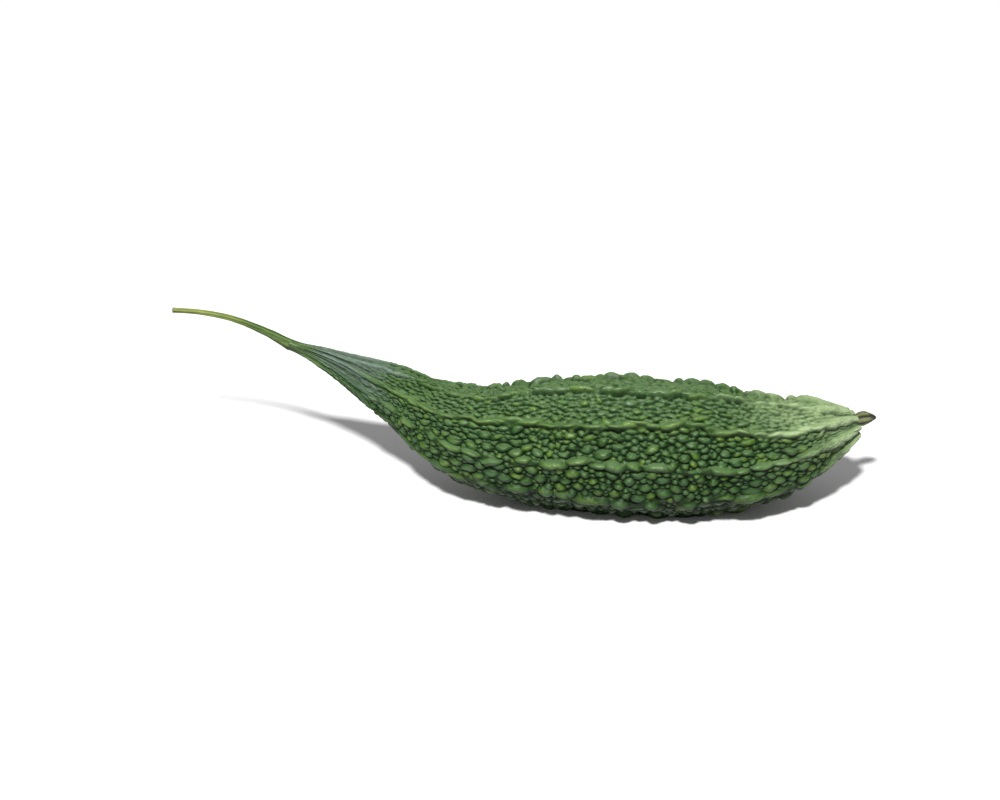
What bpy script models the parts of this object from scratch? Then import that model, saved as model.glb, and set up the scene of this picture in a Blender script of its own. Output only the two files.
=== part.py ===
"""A bitter gourd as picked: the warty fruit, its stem and the withered flower at its tip.

The fruit lies on a surface, on the flattened undersides of its two lowest ridges. Its skin is drawn
on a map: u runs along the fruit and v round it, in radians, and the map is stretched so that a wart
is round on it wherever it grows. The ridge lines, the warts and the low ground between them are
points of that map. They are joined by a Delaunay triangulation and raised by one height formula.
Lengths are in mm until the mesh is made, and angles round the fruit run from up towards the front.
"""

import math

import bmesh
import bpy
import numpy as np
from mathutils.geometry import delaunay_2d_cdt

MM = 0.001
TURN = 2 * math.pi
SEED = 11

# The fruit's centre line from the neck to the blossom end, and its radius over the ridges.
FRUIT_LINE = (
    # x, y, z, radius
    (-82.6, 26.0, 45.1, 2.9),
    (-71.7, 23.0, 41.6, 3.7),
    (-62.7, 20.0, 38.2, 5.3),
    (-43.5, 10.5, 31.2, 10.2),
    (-16.1, -4.5, 23.7, 18.2),
    (13.6, -8.5, 22.6, 23.7),
    (41.4, -11.5, 22.7, 24.9),
    (62.2, -12.7, 22.4, 24.0),
    (76.1, -13.0, 22.0, 21.4),
    (90.2, -11.0, 22.7, 18.1),
    (101.1, -6.8, 23.9, 14.0),
    (109.4, -3.2, 24.9, 9.9),
    (115.6, -0.3, 25.8, 5.9),
)
# The stem's centre line from its cut end to the neck, and its radius.
STEM_LINE = (
    # x, y, z, radius
    (-125.4, 36.8, 53.9, 0.85),
    (-113.5, 34.6, 53.7, 0.95),
    (-100.8, 31.4, 51.8, 1.1),
    (-91.7, 28.8, 48.9, 1.35),
    (-82.6, 26.0, 45.1, 1.9),
)
# Ten main ridges: where each runs, its share of the full height, and how deeply it is broken into
# separate swellings.
RIDGES = (
    # degrees, height, breaks
    (11.0, 0.95, 0.60),
    (47.0, 1.05, 0.25),
    (83.0, 0.95, 0.80),
    (119.0, 1.00, 0.80),
    (160.0, 1.00, 0.35),
    (198.0, 1.00, 0.30),
    (234.0, 0.95, 0.80),
    (268.0, 1.05, 0.30),
    (302.0, 0.95, 0.80),
    (337.0, 1.00, 0.60),
)
BELLY_RADIUS = 25.0
RIDGE_HEIGHT = 3.3  # at the belly, over the ground between the warts
RIDGE_HALF_WIDTH = 1.75  # where the ridge has fallen to a third of its height
BANK_SHARE, BANK_WIDTH = 0.22, 2.6  # the low bank under a ridge: share of its height, times its width
RIDGE_SWAY = ((0.045, 62.0), (0.020, 19.0))  # radians off its line, and the wavelength
SWAY_SHIFT = 2.4  # how far on in its sway each ridge starts, in radians
SWELLING_LENGTH = 11.0
SWELLING_DRIFT = (1.6, 47.0)  # some swellings are longer: radians, and the wavelength
SWELLING_SHIFT = 1.9  # how far on in its swellings each ridge starts, in radians
DIP_POWER = 3  # a higher power makes the dip between two swellings shorter
# How fast each shrinks with the radius: a power of the radius over the belly's.
RELIEF_POWER, WIDTH_POWER, SPACING_POWER = 0.9, 0.6, 0.55
TIP_ZONE = 26.0  # the last stretch, where the ridges stand out as ribs
TIP_RISE = 1.1  # how much taller they are there
NECK_ZONE = 52.0  # the first stretch, where the warts draw out into fine ribs
NECK_STRETCH, TIP_STRETCH = 1.9, 1.1
PRESSED = 0.45  # the underside is flat up to here, where the fruit's weight presses on the surface

WART_SPACING, WART_LEAST_SPACING = 3.7, 1.7  # at the belly, and anywhere
WART_LARGEST = 2.4
WART_STEEPNESS = 0.95  # height over radius
DOME_POWER = 0.75  # 0.5 would make a wart a half ball, and 1 a bowl upside down
WART_TOUCH = 0.56  # a wart's radius over the distance to its nearest neighbour
WART_TRIES = 45000
WART_ENDS = (0.02, 0.985)  # shares of the map's length between which warts grow
CREST_CLEAR, CREST_OVERLAP = 0.75, 0.3  # ridge half widths that warts keep off, and grow up to
WART_PULL = 1.6  # how much nearer the low ground lies to warts than to a ridge line
LOW_GROUND_ROOM = 0.62  # the least distance from a low point to any other, at the belly

CREST_STEP, TIP_CREST_STEP = 3.2, 2.0  # between the points of a ridge line
TOOTH_LENGTH, TOOTH_ROOT = 2.0, 5.0  # how far the rib ends stand out past the tip, and their root
TOOTH_WIDTH = 1.2  # over the ridge's half width
MAP_MARGIN = 1.2  # how much of the map is repeated either side of its seam, in radians
SHARP_EDGE = math.radians(75)
SOCKET_RADIUS, SOCKET_DEPTH = 2.2, 5.0
SCAR_RADIUS, SCAR_DEPTH = 1.75, 1.4  # the hollow that the flower grew from
GAP = 0.3  # between pieces that touch

STEM_SIDES, STEM_STEP = 15, 2.2
STEM_RIBS, STEM_RIB_DEPTH = 5, 0.09
FLOWER_LENGTH = 10.5
FLOWER_SIDES, FLOWER_RINGS = 20, 13
FLOWER_FOLDS, FLOWER_FOLD_DEPTH, FLOWER_TWIST = 5, 0.24, 0.8
# The flower's radius along its length, and how far it has sagged.
FLOWER_LINE = (
    # share of the length, radius, sag
    (0.00, 1.30, 0.0),
    (0.12, 1.05, -0.2),
    (0.30, 1.60, -0.9),
    (0.52, 2.10, -1.1),
    (0.72, 1.90, -0.7),
    (0.88, 1.20, 0.1),
    (1.00, 0.60, 0.9),
)

SKIN_GREEN = (0.075, 0.16, 0.045)
STEM_GREEN = (0.20, 0.27, 0.07)
FLOWER_BROWN = (0.13, 0.10, 0.055)


def smooth(x):
    """Rises from 0 to 1 as x does, level at both ends."""
    x = np.clip(x, 0.0, 1.0)
    return x * x * (3 - 2 * x)


def unit(vectors):
    """The vectors with length 1."""
    return vectors / np.linalg.norm(vectors, axis=-1, keepdims=True)


def apart(a, b):
    """The angle from b to a, the short way round."""
    return (a - b + math.pi) % TURN - math.pi


class Line:
    """A smooth line through stations of x, y, z and radius, read by the length along it."""

    def __init__(self, stations):
        self.values = np.array(stations, float)
        steps = np.linalg.norm(np.diff(self.values[:, :3], axis=0), axis=1)
        self.knots = np.concatenate([[0.0], np.cumsum(steps)])
        self.slopes = np.gradient(self.values, self.knots, axis=0)
        self.length = self.knots[-1]

    def at(self, s):
        """x, y, z and radius at the lengths s, by the cubic between two stations."""
        s = np.asarray(s, float)
        i = np.clip(np.searchsorted(self.knots, s) - 1, 0, len(self.knots) - 2)
        gap = (self.knots[i + 1] - self.knots[i])[..., None]
        t = (s - self.knots[i])[..., None] / gap
        ends = (2 * t**3 - 3 * t**2 + 1) * self.values[i] + (3 * t**2 - 2 * t**3) * self.values[i + 1]
        bends = (t**3 - 2 * t**2 + t) * self.slopes[i] + (t**3 - t**2) * self.slopes[i + 1]
        return ends + gap * bends

    def frame(self, s):
        """Centre, forward, up and front at the lengths s. Up is as near to +Z as it can be."""
        s = np.asarray(s, float)
        inside = np.clip(s, 0.5, self.length - 0.5)
        forward = unit(self.at(inside + 0.5)[..., :3] - self.at(inside - 0.5)[..., :3])
        nearest = np.clip(s, 0, self.length)
        centre = self.at(nearest)[..., :3] + (s - nearest)[..., None] * forward
        up = unit(np.array([0.0, 0.0, 1.0]) - forward * forward[..., 2:3])
        return centre, forward, up, np.cross(forward, up)

    def place(self, s, angle, radius, ahead=0.0):
        """Points round the line, moved ahead along it."""
        centre, forward, up, front = self.frame(s)
        angle, radius, ahead = (np.asarray(x, float)[..., None] for x in (angle, radius, ahead))
        return centre + radius * (up * np.cos(angle) + front * np.sin(angle)) + ahead * forward

    def ring(self, s, angles, radius):
        """A ring of points round the line at one length s."""
        return self.place(np.full(len(angles), s), angles, np.full(len(angles), radius))


class Skin:
    """The fruit's surface: its map, its ridges, its warts and its height."""

    def __init__(self):
        self.line = Line(FRUIT_LINE)
        self.s = np.linspace(0, self.line.length, 600)
        self.r = self.line.at(self.s)[:, 3]
        steps = np.diff(self.s) / (self.stretch(self.s) * self.r)[1:]
        self.u = np.concatenate([[0.0], np.cumsum(steps)])
        self.end = self.u[-1]
        self.scatter_warts()

    def stretch(self, s):
        """How many times longer than wide a wart grows."""
        return 1 + NECK_STRETCH * smooth(1 - s / NECK_ZONE) + TIP_STRETCH * self.tip_share(s)

    def tip_share(self, s):
        """Rises from 0 to 1 along the tip's zone."""
        return smooth((s - self.line.length + TIP_ZONE) / TIP_ZONE)

    def length_at(self, u):
        """The length along the centre line."""
        return np.interp(u, self.u, self.s)

    def radius_at(self, u):
        """The radius over the ridges."""
        return np.interp(u, self.u, self.r)

    def relief_at(self, u):
        """The height of a full ridge: less on the thin neck, more at the ribbed tip."""
        share = (self.radius_at(u) / BELLY_RADIUS) ** RELIEF_POWER
        return RIDGE_HEIGHT * share * (1 + TIP_RISE * self.tip_share(self.length_at(u)))

    def ridge_width_at(self, u):
        """The half width of a ridge."""
        return RIDGE_HALF_WIDTH * (self.radius_at(u) / BELLY_RADIUS) ** WIDTH_POWER

    def crest_angle(self, number, u):
        """The ridge's angle, which sways as it runs."""
        s = self.length_at(u)
        angle = math.radians(RIDGES[number][0])
        for turn, (sway, wave) in enumerate(RIDGE_SWAY):
            angle = angle + sway * np.sin(TURN * s / wave + SWAY_SHIFT * number * (turn + 1))
        return angle

    def crest_share(self, number, u):
        """The share of its height that the ridge has: long swellings with a dip after each."""
        s = self.length_at(u)
        _, height, breaks = RIDGES[number]
        ends = smooth(s / NECK_ZONE) * smooth((self.line.length - s) / TIP_ZONE)
        drift, wave = SWELLING_DRIFT
        phase = TURN * s / SWELLING_LENGTH + drift * np.sin(TURN * s / wave + number)
        dips = (0.5 + 0.5 * np.cos(phase + SWELLING_SHIFT * number)) ** DIP_POWER
        return height * (1 - breaks * ends * dips)

    def ridge_distance(self, u, v):
        """How far each point is from the nearest ridge line."""
        away = [np.abs(apart(v, self.crest_angle(k, u))) for k in range(len(RIDGES))]
        return np.min(away, axis=0) * self.radius_at(u)

    def scatter_warts(self):
        """Throws warts at the map one by one, and keeps each that has room to grow."""
        rng = np.random.default_rng(SEED)
        first, last = (share * self.end for share in WART_ENDS)
        tries = rng.uniform((first, 0), (last, TURN), (WART_TRIES, 2))
        radius = self.radius_at(tries[:, 0])
        spacing = WART_SPACING * (radius / BELLY_RADIUS) ** SPACING_POWER
        spacing = np.maximum(spacing, WART_LEAST_SPACING)
        beside = self.ridge_distance(*tries.T) - CREST_CLEAR * self.ridge_width_at(tries[:, 0])
        room = beside > spacing / 3
        kept = np.empty((0, 2))
        for place, r, least in zip(tries[room], radius[room], spacing[room], strict=True):
            away = np.hypot(kept[:, 0] - place[0], apart(kept[:, 1], place[1])) * r
            if away.min(initial=np.inf) > least:
                kept = np.vstack([kept, place])
        self.wart_u, self.wart_v = kept.T
        self.wart_radius = self.wart_sizes()

    def wart_sizes(self):
        """Each wart is as wide as its neighbours and the nearest ridge leave it."""
        along = self.wart_u[:, None] - self.wart_u
        around = apart(self.wart_v[:, None], self.wart_v)
        away = np.hypot(along, around) * self.radius_at(self.wart_u)[:, None]
        np.fill_diagonal(away, np.inf)
        beside = self.ridge_distance(self.wart_u, self.wart_v)
        beside -= CREST_OVERLAP * self.ridge_width_at(self.wart_u)
        return np.minimum(np.minimum(WART_TOUCH * away.min(axis=1), beside), WART_LARGEST)

    def height(self, u, v):
        """The skin's distance from the centre line."""
        radius, relief, width = self.radius_at(u), self.relief_at(u), self.ridge_width_at(u)
        raised, bank = np.zeros_like(u), np.zeros_like(u)
        for number in range(len(RIDGES)):
            away = apart(v, self.crest_angle(number, u)) * radius / width
            share = self.crest_share(number, u)
            raised = np.maximum(raised, share * relief * np.exp(-(away**2)))
            bank = np.maximum(bank, BANK_SHARE * relief * np.exp(-((away / BANK_WIDTH) ** 2)))
        away = np.hypot(u[:, None] - self.wart_u, apart(v[:, None], self.wart_v))
        away = away * self.radius_at(self.wart_u) / self.wart_radius
        domes = WART_STEEPNESS * self.wart_radius * np.clip(1 - away**2, 0, None) ** DOME_POWER
        return radius - relief + bank + np.maximum(raised, domes.max(axis=1))

    def point(self, u, v):
        """Places on the map as points in space, with the rib ends drawn out past the tip."""
        s = self.length_at(u)
        share = np.exp(-((self.ridge_distance(u, v) / (TOOTH_WIDTH * self.ridge_width_at(u))) ** 2))
        ahead = TOOTH_LENGTH * share * smooth((s - self.line.length) / TOOTH_ROOT + 1)
        return self.line.place(s, v, self.height(u, v), ahead)


class Net:
    """The points of the map, and the edges that its triangles must keep."""

    def __init__(self, skin):
        tip = skin.line.length - TIP_ZONE / 2
        body = np.linspace(0, tip, round(tip / CREST_STEP))
        ribs = np.linspace(tip, skin.line.length, round((skin.line.length - tip) / TIP_CREST_STEP))
        u = np.interp(np.concatenate([body[:-1], ribs]), skin.s, skin.u)
        self.points, self.edges = [], []
        lines = [
            self.add([(along, skin.crest_angle(k, along)) for along in u]) for k in range(len(RIDGES))
        ]
        for line in lines:
            self.edges += zip(line[:-1], line[1:], strict=True)
        self.neck = self.add_ring([line[0] for line in lines])
        self.tip = self.add_ring([line[-1] for line in lines])
        self.first_wart = len(self.points)
        self.add(zip(skin.wart_u, skin.wart_v, strict=True))

    def add(self, places):
        """Adds points and gives their numbers."""
        first = len(self.points)
        self.points += [(float(u), float(v) % TURN) for u, v in places]
        return list(range(first, len(self.points)))

    def add_ring(self, crests):
        """Closes one end of the map: a corner at each ridge and one midway to the next."""
        ring = []
        for here, after in zip(crests, crests[1:] + crests[:1], strict=True):
            u, v = self.points[here]
            ring += [here, *self.add([(u, v + apart(self.points[after][1], v) / 2)])]
        self.edges += zip(ring, ring[1:] + ring[:1], strict=True)
        return ring

    def triangles(self):
        """Joins the points into triangles of their numbers. The map wraps round in v."""
        places, numbers, copies = [], [], {}
        for number, (u, v) in enumerate(self.points):
            for turn in (-1, 0, 1):
                if -MAP_MARGIN < v + turn * TURN < TURN + MAP_MARGIN:
                    copies[number, turn] = len(places)
                    places.append((u, v + turn * TURN))
                    numbers.append(number)
        kept = []
        for a, b in self.edges:
            wraps = round((self.points[a][1] - self.points[b][1]) / TURN)
            pairs = [(copies.get((a, turn)), copies.get((b, turn + wraps))) for turn in (-1, 0, 1)]
            kept += [pair for pair in pairs if None not in pair]
        made, _, faces, sources, *_ = delaunay_2d_cdt(places, kept, [], 0, 1e-7)
        middles = [sum(made[corner][1] for corner in face) / 3 for face in faces]
        inside = [face for face, v in zip(faces, middles, strict=True) if 0 <= v < TURN]
        return np.array([[numbers[sources[corner][0]] for corner in face] for face in inside])

    def add_low_ground(self, skin):
        """Adds a point in each triangle, nearer its warts than its ridge line, where there is room."""
        triangles, points = self.triangles(), np.array(self.points)
        corners = points[triangles]
        corners[:, 1:, 1] = corners[:, :1, 1] + apart(corners[:, 1:, 1], corners[:, :1, 1])
        weights = np.where(triangles < self.first_wart, 1.0, WART_PULL)[..., None]
        middles = (corners * weights).sum(axis=1) / weights.sum(axis=1)
        along = middles[:, None, 0] - points[:, 0]
        around = apart(middles[:, None, 1], points[:, 1])
        radius = skin.radius_at(middles[:, 0])
        room = np.hypot(along, around).min(axis=1) * radius
        self.add(middles[room > LOW_GROUND_ROOM * (radius / BELLY_RADIUS) ** SPACING_POWER])


def make_object(name, points, faces, colour, roughness):
    """A closed mesh object in metres, with its own material."""
    shape = bmesh.new()
    corners = [shape.verts.new(point * MM) for point in points]
    for face in faces:
        shape.faces.new([corners[number] for number in face])
    bmesh.ops.triangulate(shape, faces=[face for face in shape.faces if len(face.verts) > 3])
    bmesh.ops.recalc_face_normals(shape, faces=shape.faces[:])
    mesh = bpy.data.meshes.new(name)
    shape.to_mesh(mesh)
    shape.free()
    mesh.shade_smooth()
    mesh.set_sharp_from_angle(angle=SHARP_EDGE)
    material = bpy.data.materials.new(name)
    material.use_nodes = True
    finish = material.node_tree.nodes["Principled BSDF"]
    finish.inputs["Base Color"].default_value = (*colour, 1)
    finish.inputs["Roughness"].default_value = roughness
    finish.inputs["Metallic"].default_value = 0.0
    mesh.materials.append(material)
    made = bpy.data.objects.new(name, mesh)
    bpy.context.scene.collection.objects.link(made)
    return made


def band(first, second):
    """Quads between two rings of the same number of corners."""
    return list(zip(first, first[1:] + first[:1], second[1:] + second[:1], second, strict=True))


def loft(name, rings, colour, roughness):
    """A closed tube through rings of corners, with a flat end at each."""
    sides = len(rings[0])
    numbers = [list(range(i * sides, (i + 1) * sides)) for i in range(len(rings))]
    faces = [numbers[0], numbers[-1]]
    for first, second in zip(numbers[:-1], numbers[1:], strict=True):
        faces += band(first, second)
    return make_object(name, np.concatenate(rings), faces, colour, roughness)


def build_fruit(skin):
    """The fruit in one closed solid, with a socket at the neck and the flower's scar at the tip."""
    net = Net(skin)
    net.add_low_ground(skin)
    faces = net.triangles().tolist()
    places = np.array(net.points)
    points = skin.point(*places.T)
    hollows = (
        # ring, length of its rim, length of its floor, radius
        (net.neck, 0.0, SOCKET_DEPTH, SOCKET_RADIUS),
        (net.tip, skin.line.length, skin.line.length - SCAR_DEPTH, SCAR_RADIUS),
    )
    for ring, rim, floor, radius in hollows:
        inner = list(range(len(points), len(points) + len(ring)))
        lower = [number + len(ring) for number in inner]
        faces += band(ring, inner) + band(inner, lower) + [lower]
        angles = places[ring, 1]
        circles = [skin.line.ring(s, angles, radius) for s in (rim, floor)]
        points = np.concatenate([points, *circles])
    points[points[:, 2] < PRESSED, 2] = 0.0
    return make_object("fruit", points, faces, SKIN_GREEN, 0.42)


def build_stem(skin):
    """The stem, ribbed and cut across, with its root in the fruit's socket."""
    line = Line(STEM_LINE)
    angles = np.arange(STEM_SIDES) * TURN / STEM_SIDES
    ribs = 1 + STEM_RIB_DEPTH * np.cos(STEM_RIBS * angles)
    lengths = np.linspace(0, line.length, round(line.length / STEM_STEP))
    rings = [line.place(np.full(STEM_SIDES, s), angles, line.at(s)[3] * ribs) for s in lengths]
    root = (SOCKET_DEPTH / 2, SOCKET_DEPTH - GAP)
    rings += [skin.line.ring(s, angles, SOCKET_RADIUS - GAP) for s in root]
    return loft("stem", rings, STEM_GREEN, 0.5)


def build_flower(skin):
    """The withered flower: folded, twisted and sagging from the scar at the fruit's tip."""
    shares, radii, sags = np.array(FLOWER_LINE).T
    angles = np.arange(FLOWER_SIDES) * TURN / FLOWER_SIDES
    root = skin.line.length - SCAR_DEPTH + GAP
    rings = []
    for share in np.linspace(0, 1, FLOWER_RINGS):
        depth = FLOWER_FOLD_DEPTH * smooth(share / 0.4)
        radius = np.interp(share, shares, radii) * (1 + depth * np.cos(FLOWER_FOLDS * angles))
        s = np.full(FLOWER_SIDES, root + share * FLOWER_LENGTH)
        ring = skin.line.place(s, angles + FLOWER_TWIST * share, radius)
        ring[:, 2] -= np.interp(share, shares, sags)
        rings.append(ring)
    return loft("withered_flower", rings, FLOWER_BROWN, 0.8)


def main():
    """Clears the scene and builds the three pieces."""
    for old in list(bpy.data.objects):
        bpy.data.objects.remove(old)
    skin = Skin()
    build_fruit(skin)
    build_stem(skin)
    build_flower(skin)


main()
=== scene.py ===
"""The looks of a bitter gourd as picked, lying on its side: warty skin, stem and withered flower.

The fruit's fine skin follows the same centre line, ridges and warts as the solids that it stands
for, and adds the lumps of the ridges, the small beads between the warts, the lines of the neck and
the toothed crown at the blossom end. Lengths are in mm until a mesh is made, angles round the fruit
run from up towards the front, and u is the length along the fruit on a map where a wart is round.
"""

import logging
import math
from collections.abc import Iterator, Sequence
from dataclasses import dataclass, field
from enum import Enum
from typing import TypeAlias

import bpy
import numpy as np
from numpy.typing import NDArray
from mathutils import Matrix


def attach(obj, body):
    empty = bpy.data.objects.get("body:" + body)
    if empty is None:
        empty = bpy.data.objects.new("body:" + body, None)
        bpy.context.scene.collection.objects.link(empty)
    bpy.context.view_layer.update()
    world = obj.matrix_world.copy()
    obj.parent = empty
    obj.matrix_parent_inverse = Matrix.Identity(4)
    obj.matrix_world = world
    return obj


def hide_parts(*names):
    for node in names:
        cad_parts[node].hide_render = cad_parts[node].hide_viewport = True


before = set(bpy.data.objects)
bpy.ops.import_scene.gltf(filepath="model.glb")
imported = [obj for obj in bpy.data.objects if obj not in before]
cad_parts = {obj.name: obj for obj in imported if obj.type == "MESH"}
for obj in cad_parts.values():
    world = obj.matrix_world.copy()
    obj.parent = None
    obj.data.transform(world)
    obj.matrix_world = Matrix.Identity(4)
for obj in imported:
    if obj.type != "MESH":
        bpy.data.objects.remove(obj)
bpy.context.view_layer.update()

MM = 0.001
TURN = 2 * math.pi
BELLY_RADIUS = 25.0

Array: TypeAlias = NDArray[np.float64]
Colour: TypeAlias = tuple[float, float, float]
Triple: TypeAlias = tuple[float, float, float]
Span: TypeAlias = tuple[float, float]
Wave: TypeAlias = tuple[float, int, float]
Value: TypeAlias = "Sock | float"

log = logging.getLogger("bitter_gourd")


class Mark(Enum):
    """What each corner of a mesh remembers for its finish."""

    RELIEF = "relief"  # 0 in the crevices, 1 on the tops
    CREST = "crest"  # 1 on a main ridge
    BLOOM = "bloom"  # 1 where the neck's wax bloom lies, with painted sheen on its upper side
    PALE = "pale"  # 1 at the pale blossom end
    TONE = "tone"  # each wart's own shade
    ALONG = "along"  # share of the piece's length


@dataclass(frozen=True)
class Lumps:
    """The lumps along a ridge."""

    half_width: Span  # in mm
    aspect: Span  # length over width
    crowding: float  # lumps to a swelling
    off_line: float  # how far they stray from the ridge's line, in mm
    yellow: float  # how yellow they can be


class RidgeForm(Enum):
    """How a ridge is broken up into lumps."""

    FINE = Lumps((0.95, 1.65), (1.8, 4.4), 2.1, 0.50, 0.30)
    THIN = Lumps((1.00, 1.95), (2.4, 5.2), 1.8, 0.42, 1.00)
    KNOBBLY = Lumps((1.25, 2.40), (1.4, 3.1), 1.4, 0.60, 0.35)


@dataclass(frozen=True)
class Ridge:
    """One main ridge."""

    degrees: float  # from up towards the front
    height: float  # share of a full ridge
    breaks: float  # share of its height that a dip takes
    form: RidgeForm


def smooth(x: Array | float) -> Array:
    """Rises from 0 to 1 as x does, level at both ends."""
    x = np.clip(x, 0.0, 1.0)
    return x * x * (3 - 2 * x)


def dome(away: Array, power: float) -> Array:
    """Gives a dome 1 high with its rim at 1: round where the power is 0.5, pointed where it is 1."""
    return np.clip(1 - away**2, 0, None) ** power


def waves_round(angle: Array, waves: Sequence[Wave]) -> Array:
    """Adds up waves round the fruit, each with its size, its number of crests and its shift."""
    return sum(size * np.sin(crests * angle + shift) for size, crests, shift in waves)


def unit(vectors: Array) -> Array:
    """Gives the vectors in the last axis length 1."""
    return vectors / np.linalg.norm(vectors, axis=-1, keepdims=True)


def apart(a: Array | float, b: Array | float) -> Array | float:
    """Measures the angle from b to a in radians, the short way round."""
    return (a - b + math.pi) % TURN - math.pi


@dataclass
class Line:
    """A smooth line through stations of x, y, z and radius, read by the length along it."""

    stations: tuple[tuple[float, ...], ...]
    values: Array = field(init=False)
    knots: Array = field(init=False)
    slopes: Array = field(init=False)
    length: float = field(init=False)

    def __post_init__(self) -> None:
        """Works out the lengths and slopes at the stations."""
        self.values = np.array(self.stations, float)
        steps = np.linalg.norm(np.diff(self.values[:, :3], axis=0), axis=1)
        self.knots = np.concatenate([[0.0], np.cumsum(steps)])
        self.slopes = np.gradient(self.values, self.knots, axis=0)
        self.length = float(self.knots[-1])

    def at(self, s: Array | float) -> Array:
        """Reads the line by the cubic between two stations.

        Args:
            s: lengths along the line.

        Returns:
            x, y, z and radius in the last axis.
        """
        s = np.asarray(s, float)
        i = np.clip(np.searchsorted(self.knots, s) - 1, 0, len(self.knots) - 2)
        gap = (self.knots[i + 1] - self.knots[i])[..., None]
        t = (s - self.knots[i])[..., None] / gap
        ends = (2 * t**3 - 3 * t**2 + 1) * self.values[i] + (3 * t**2 - 2 * t**3) * self.values[i + 1]
        bends = (t**3 - 2 * t**2 + t) * self.slopes[i] + (t**3 - t**2) * self.slopes[i + 1]
        return ends + gap * bends

    def frame(self, s: Array | float) -> tuple[Array, Array, Array, Array]:
        """Gives the line's axes. Up is as near to +Z as it can be.

        Args:
            s: lengths along the line, which may run on past its ends.

        Returns:
            Centre, forward, up and front.
        """
        s = np.asarray(s, float)
        inside = np.clip(s, 0.5, self.length - 0.5)
        forward = unit(self.at(inside + 0.5)[..., :3] - self.at(inside - 0.5)[..., :3])
        nearest = np.clip(s, 0, self.length)
        centre = self.at(nearest)[..., :3] + (s - nearest)[..., None] * forward
        up = unit(np.array([0.0, 0.0, 1.0]) - forward * forward[..., 2:3])
        return centre, forward, up, np.cross(forward, up)

    def place(self, s: Array, angle: Array, radius: Array, ahead: Array | float = 0.0) -> Array:
        """Places points round the line.

        Args:
            s: lengths along the line.
            angle: angles from up towards the front.
            radius: distances from the line.
            ahead: how far each point is then moved along the line.

        Returns:
            Points in the row frame, in mm.
        """
        centre, forward, up, front = self.frame(s)
        angle, radius, ahead = (np.asarray(x, float)[..., None] for x in (angle, radius, ahead))
        return centre + radius * (up * np.cos(angle) + front * np.sin(angle)) + ahead * forward


@dataclass
class Bead:
    """One wart, bead or lump of the skin: a dome on the map, longer than wide where it has to be."""

    u: float  # its place on the map
    v: float
    radius: float  # half its width, in mm
    aspect: float = 1.0  # its length over its width
    turn: float = 0.0  # from along the fruit to its length, in radians
    height: float = 1.0  # a share of its radius, or of a full ridge for a lump
    tone: float = 0.5  # its own shade
    power: float = 0.6  # of its dome
    crest: float = 0.0  # how much of a ridge's colour it has


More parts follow.
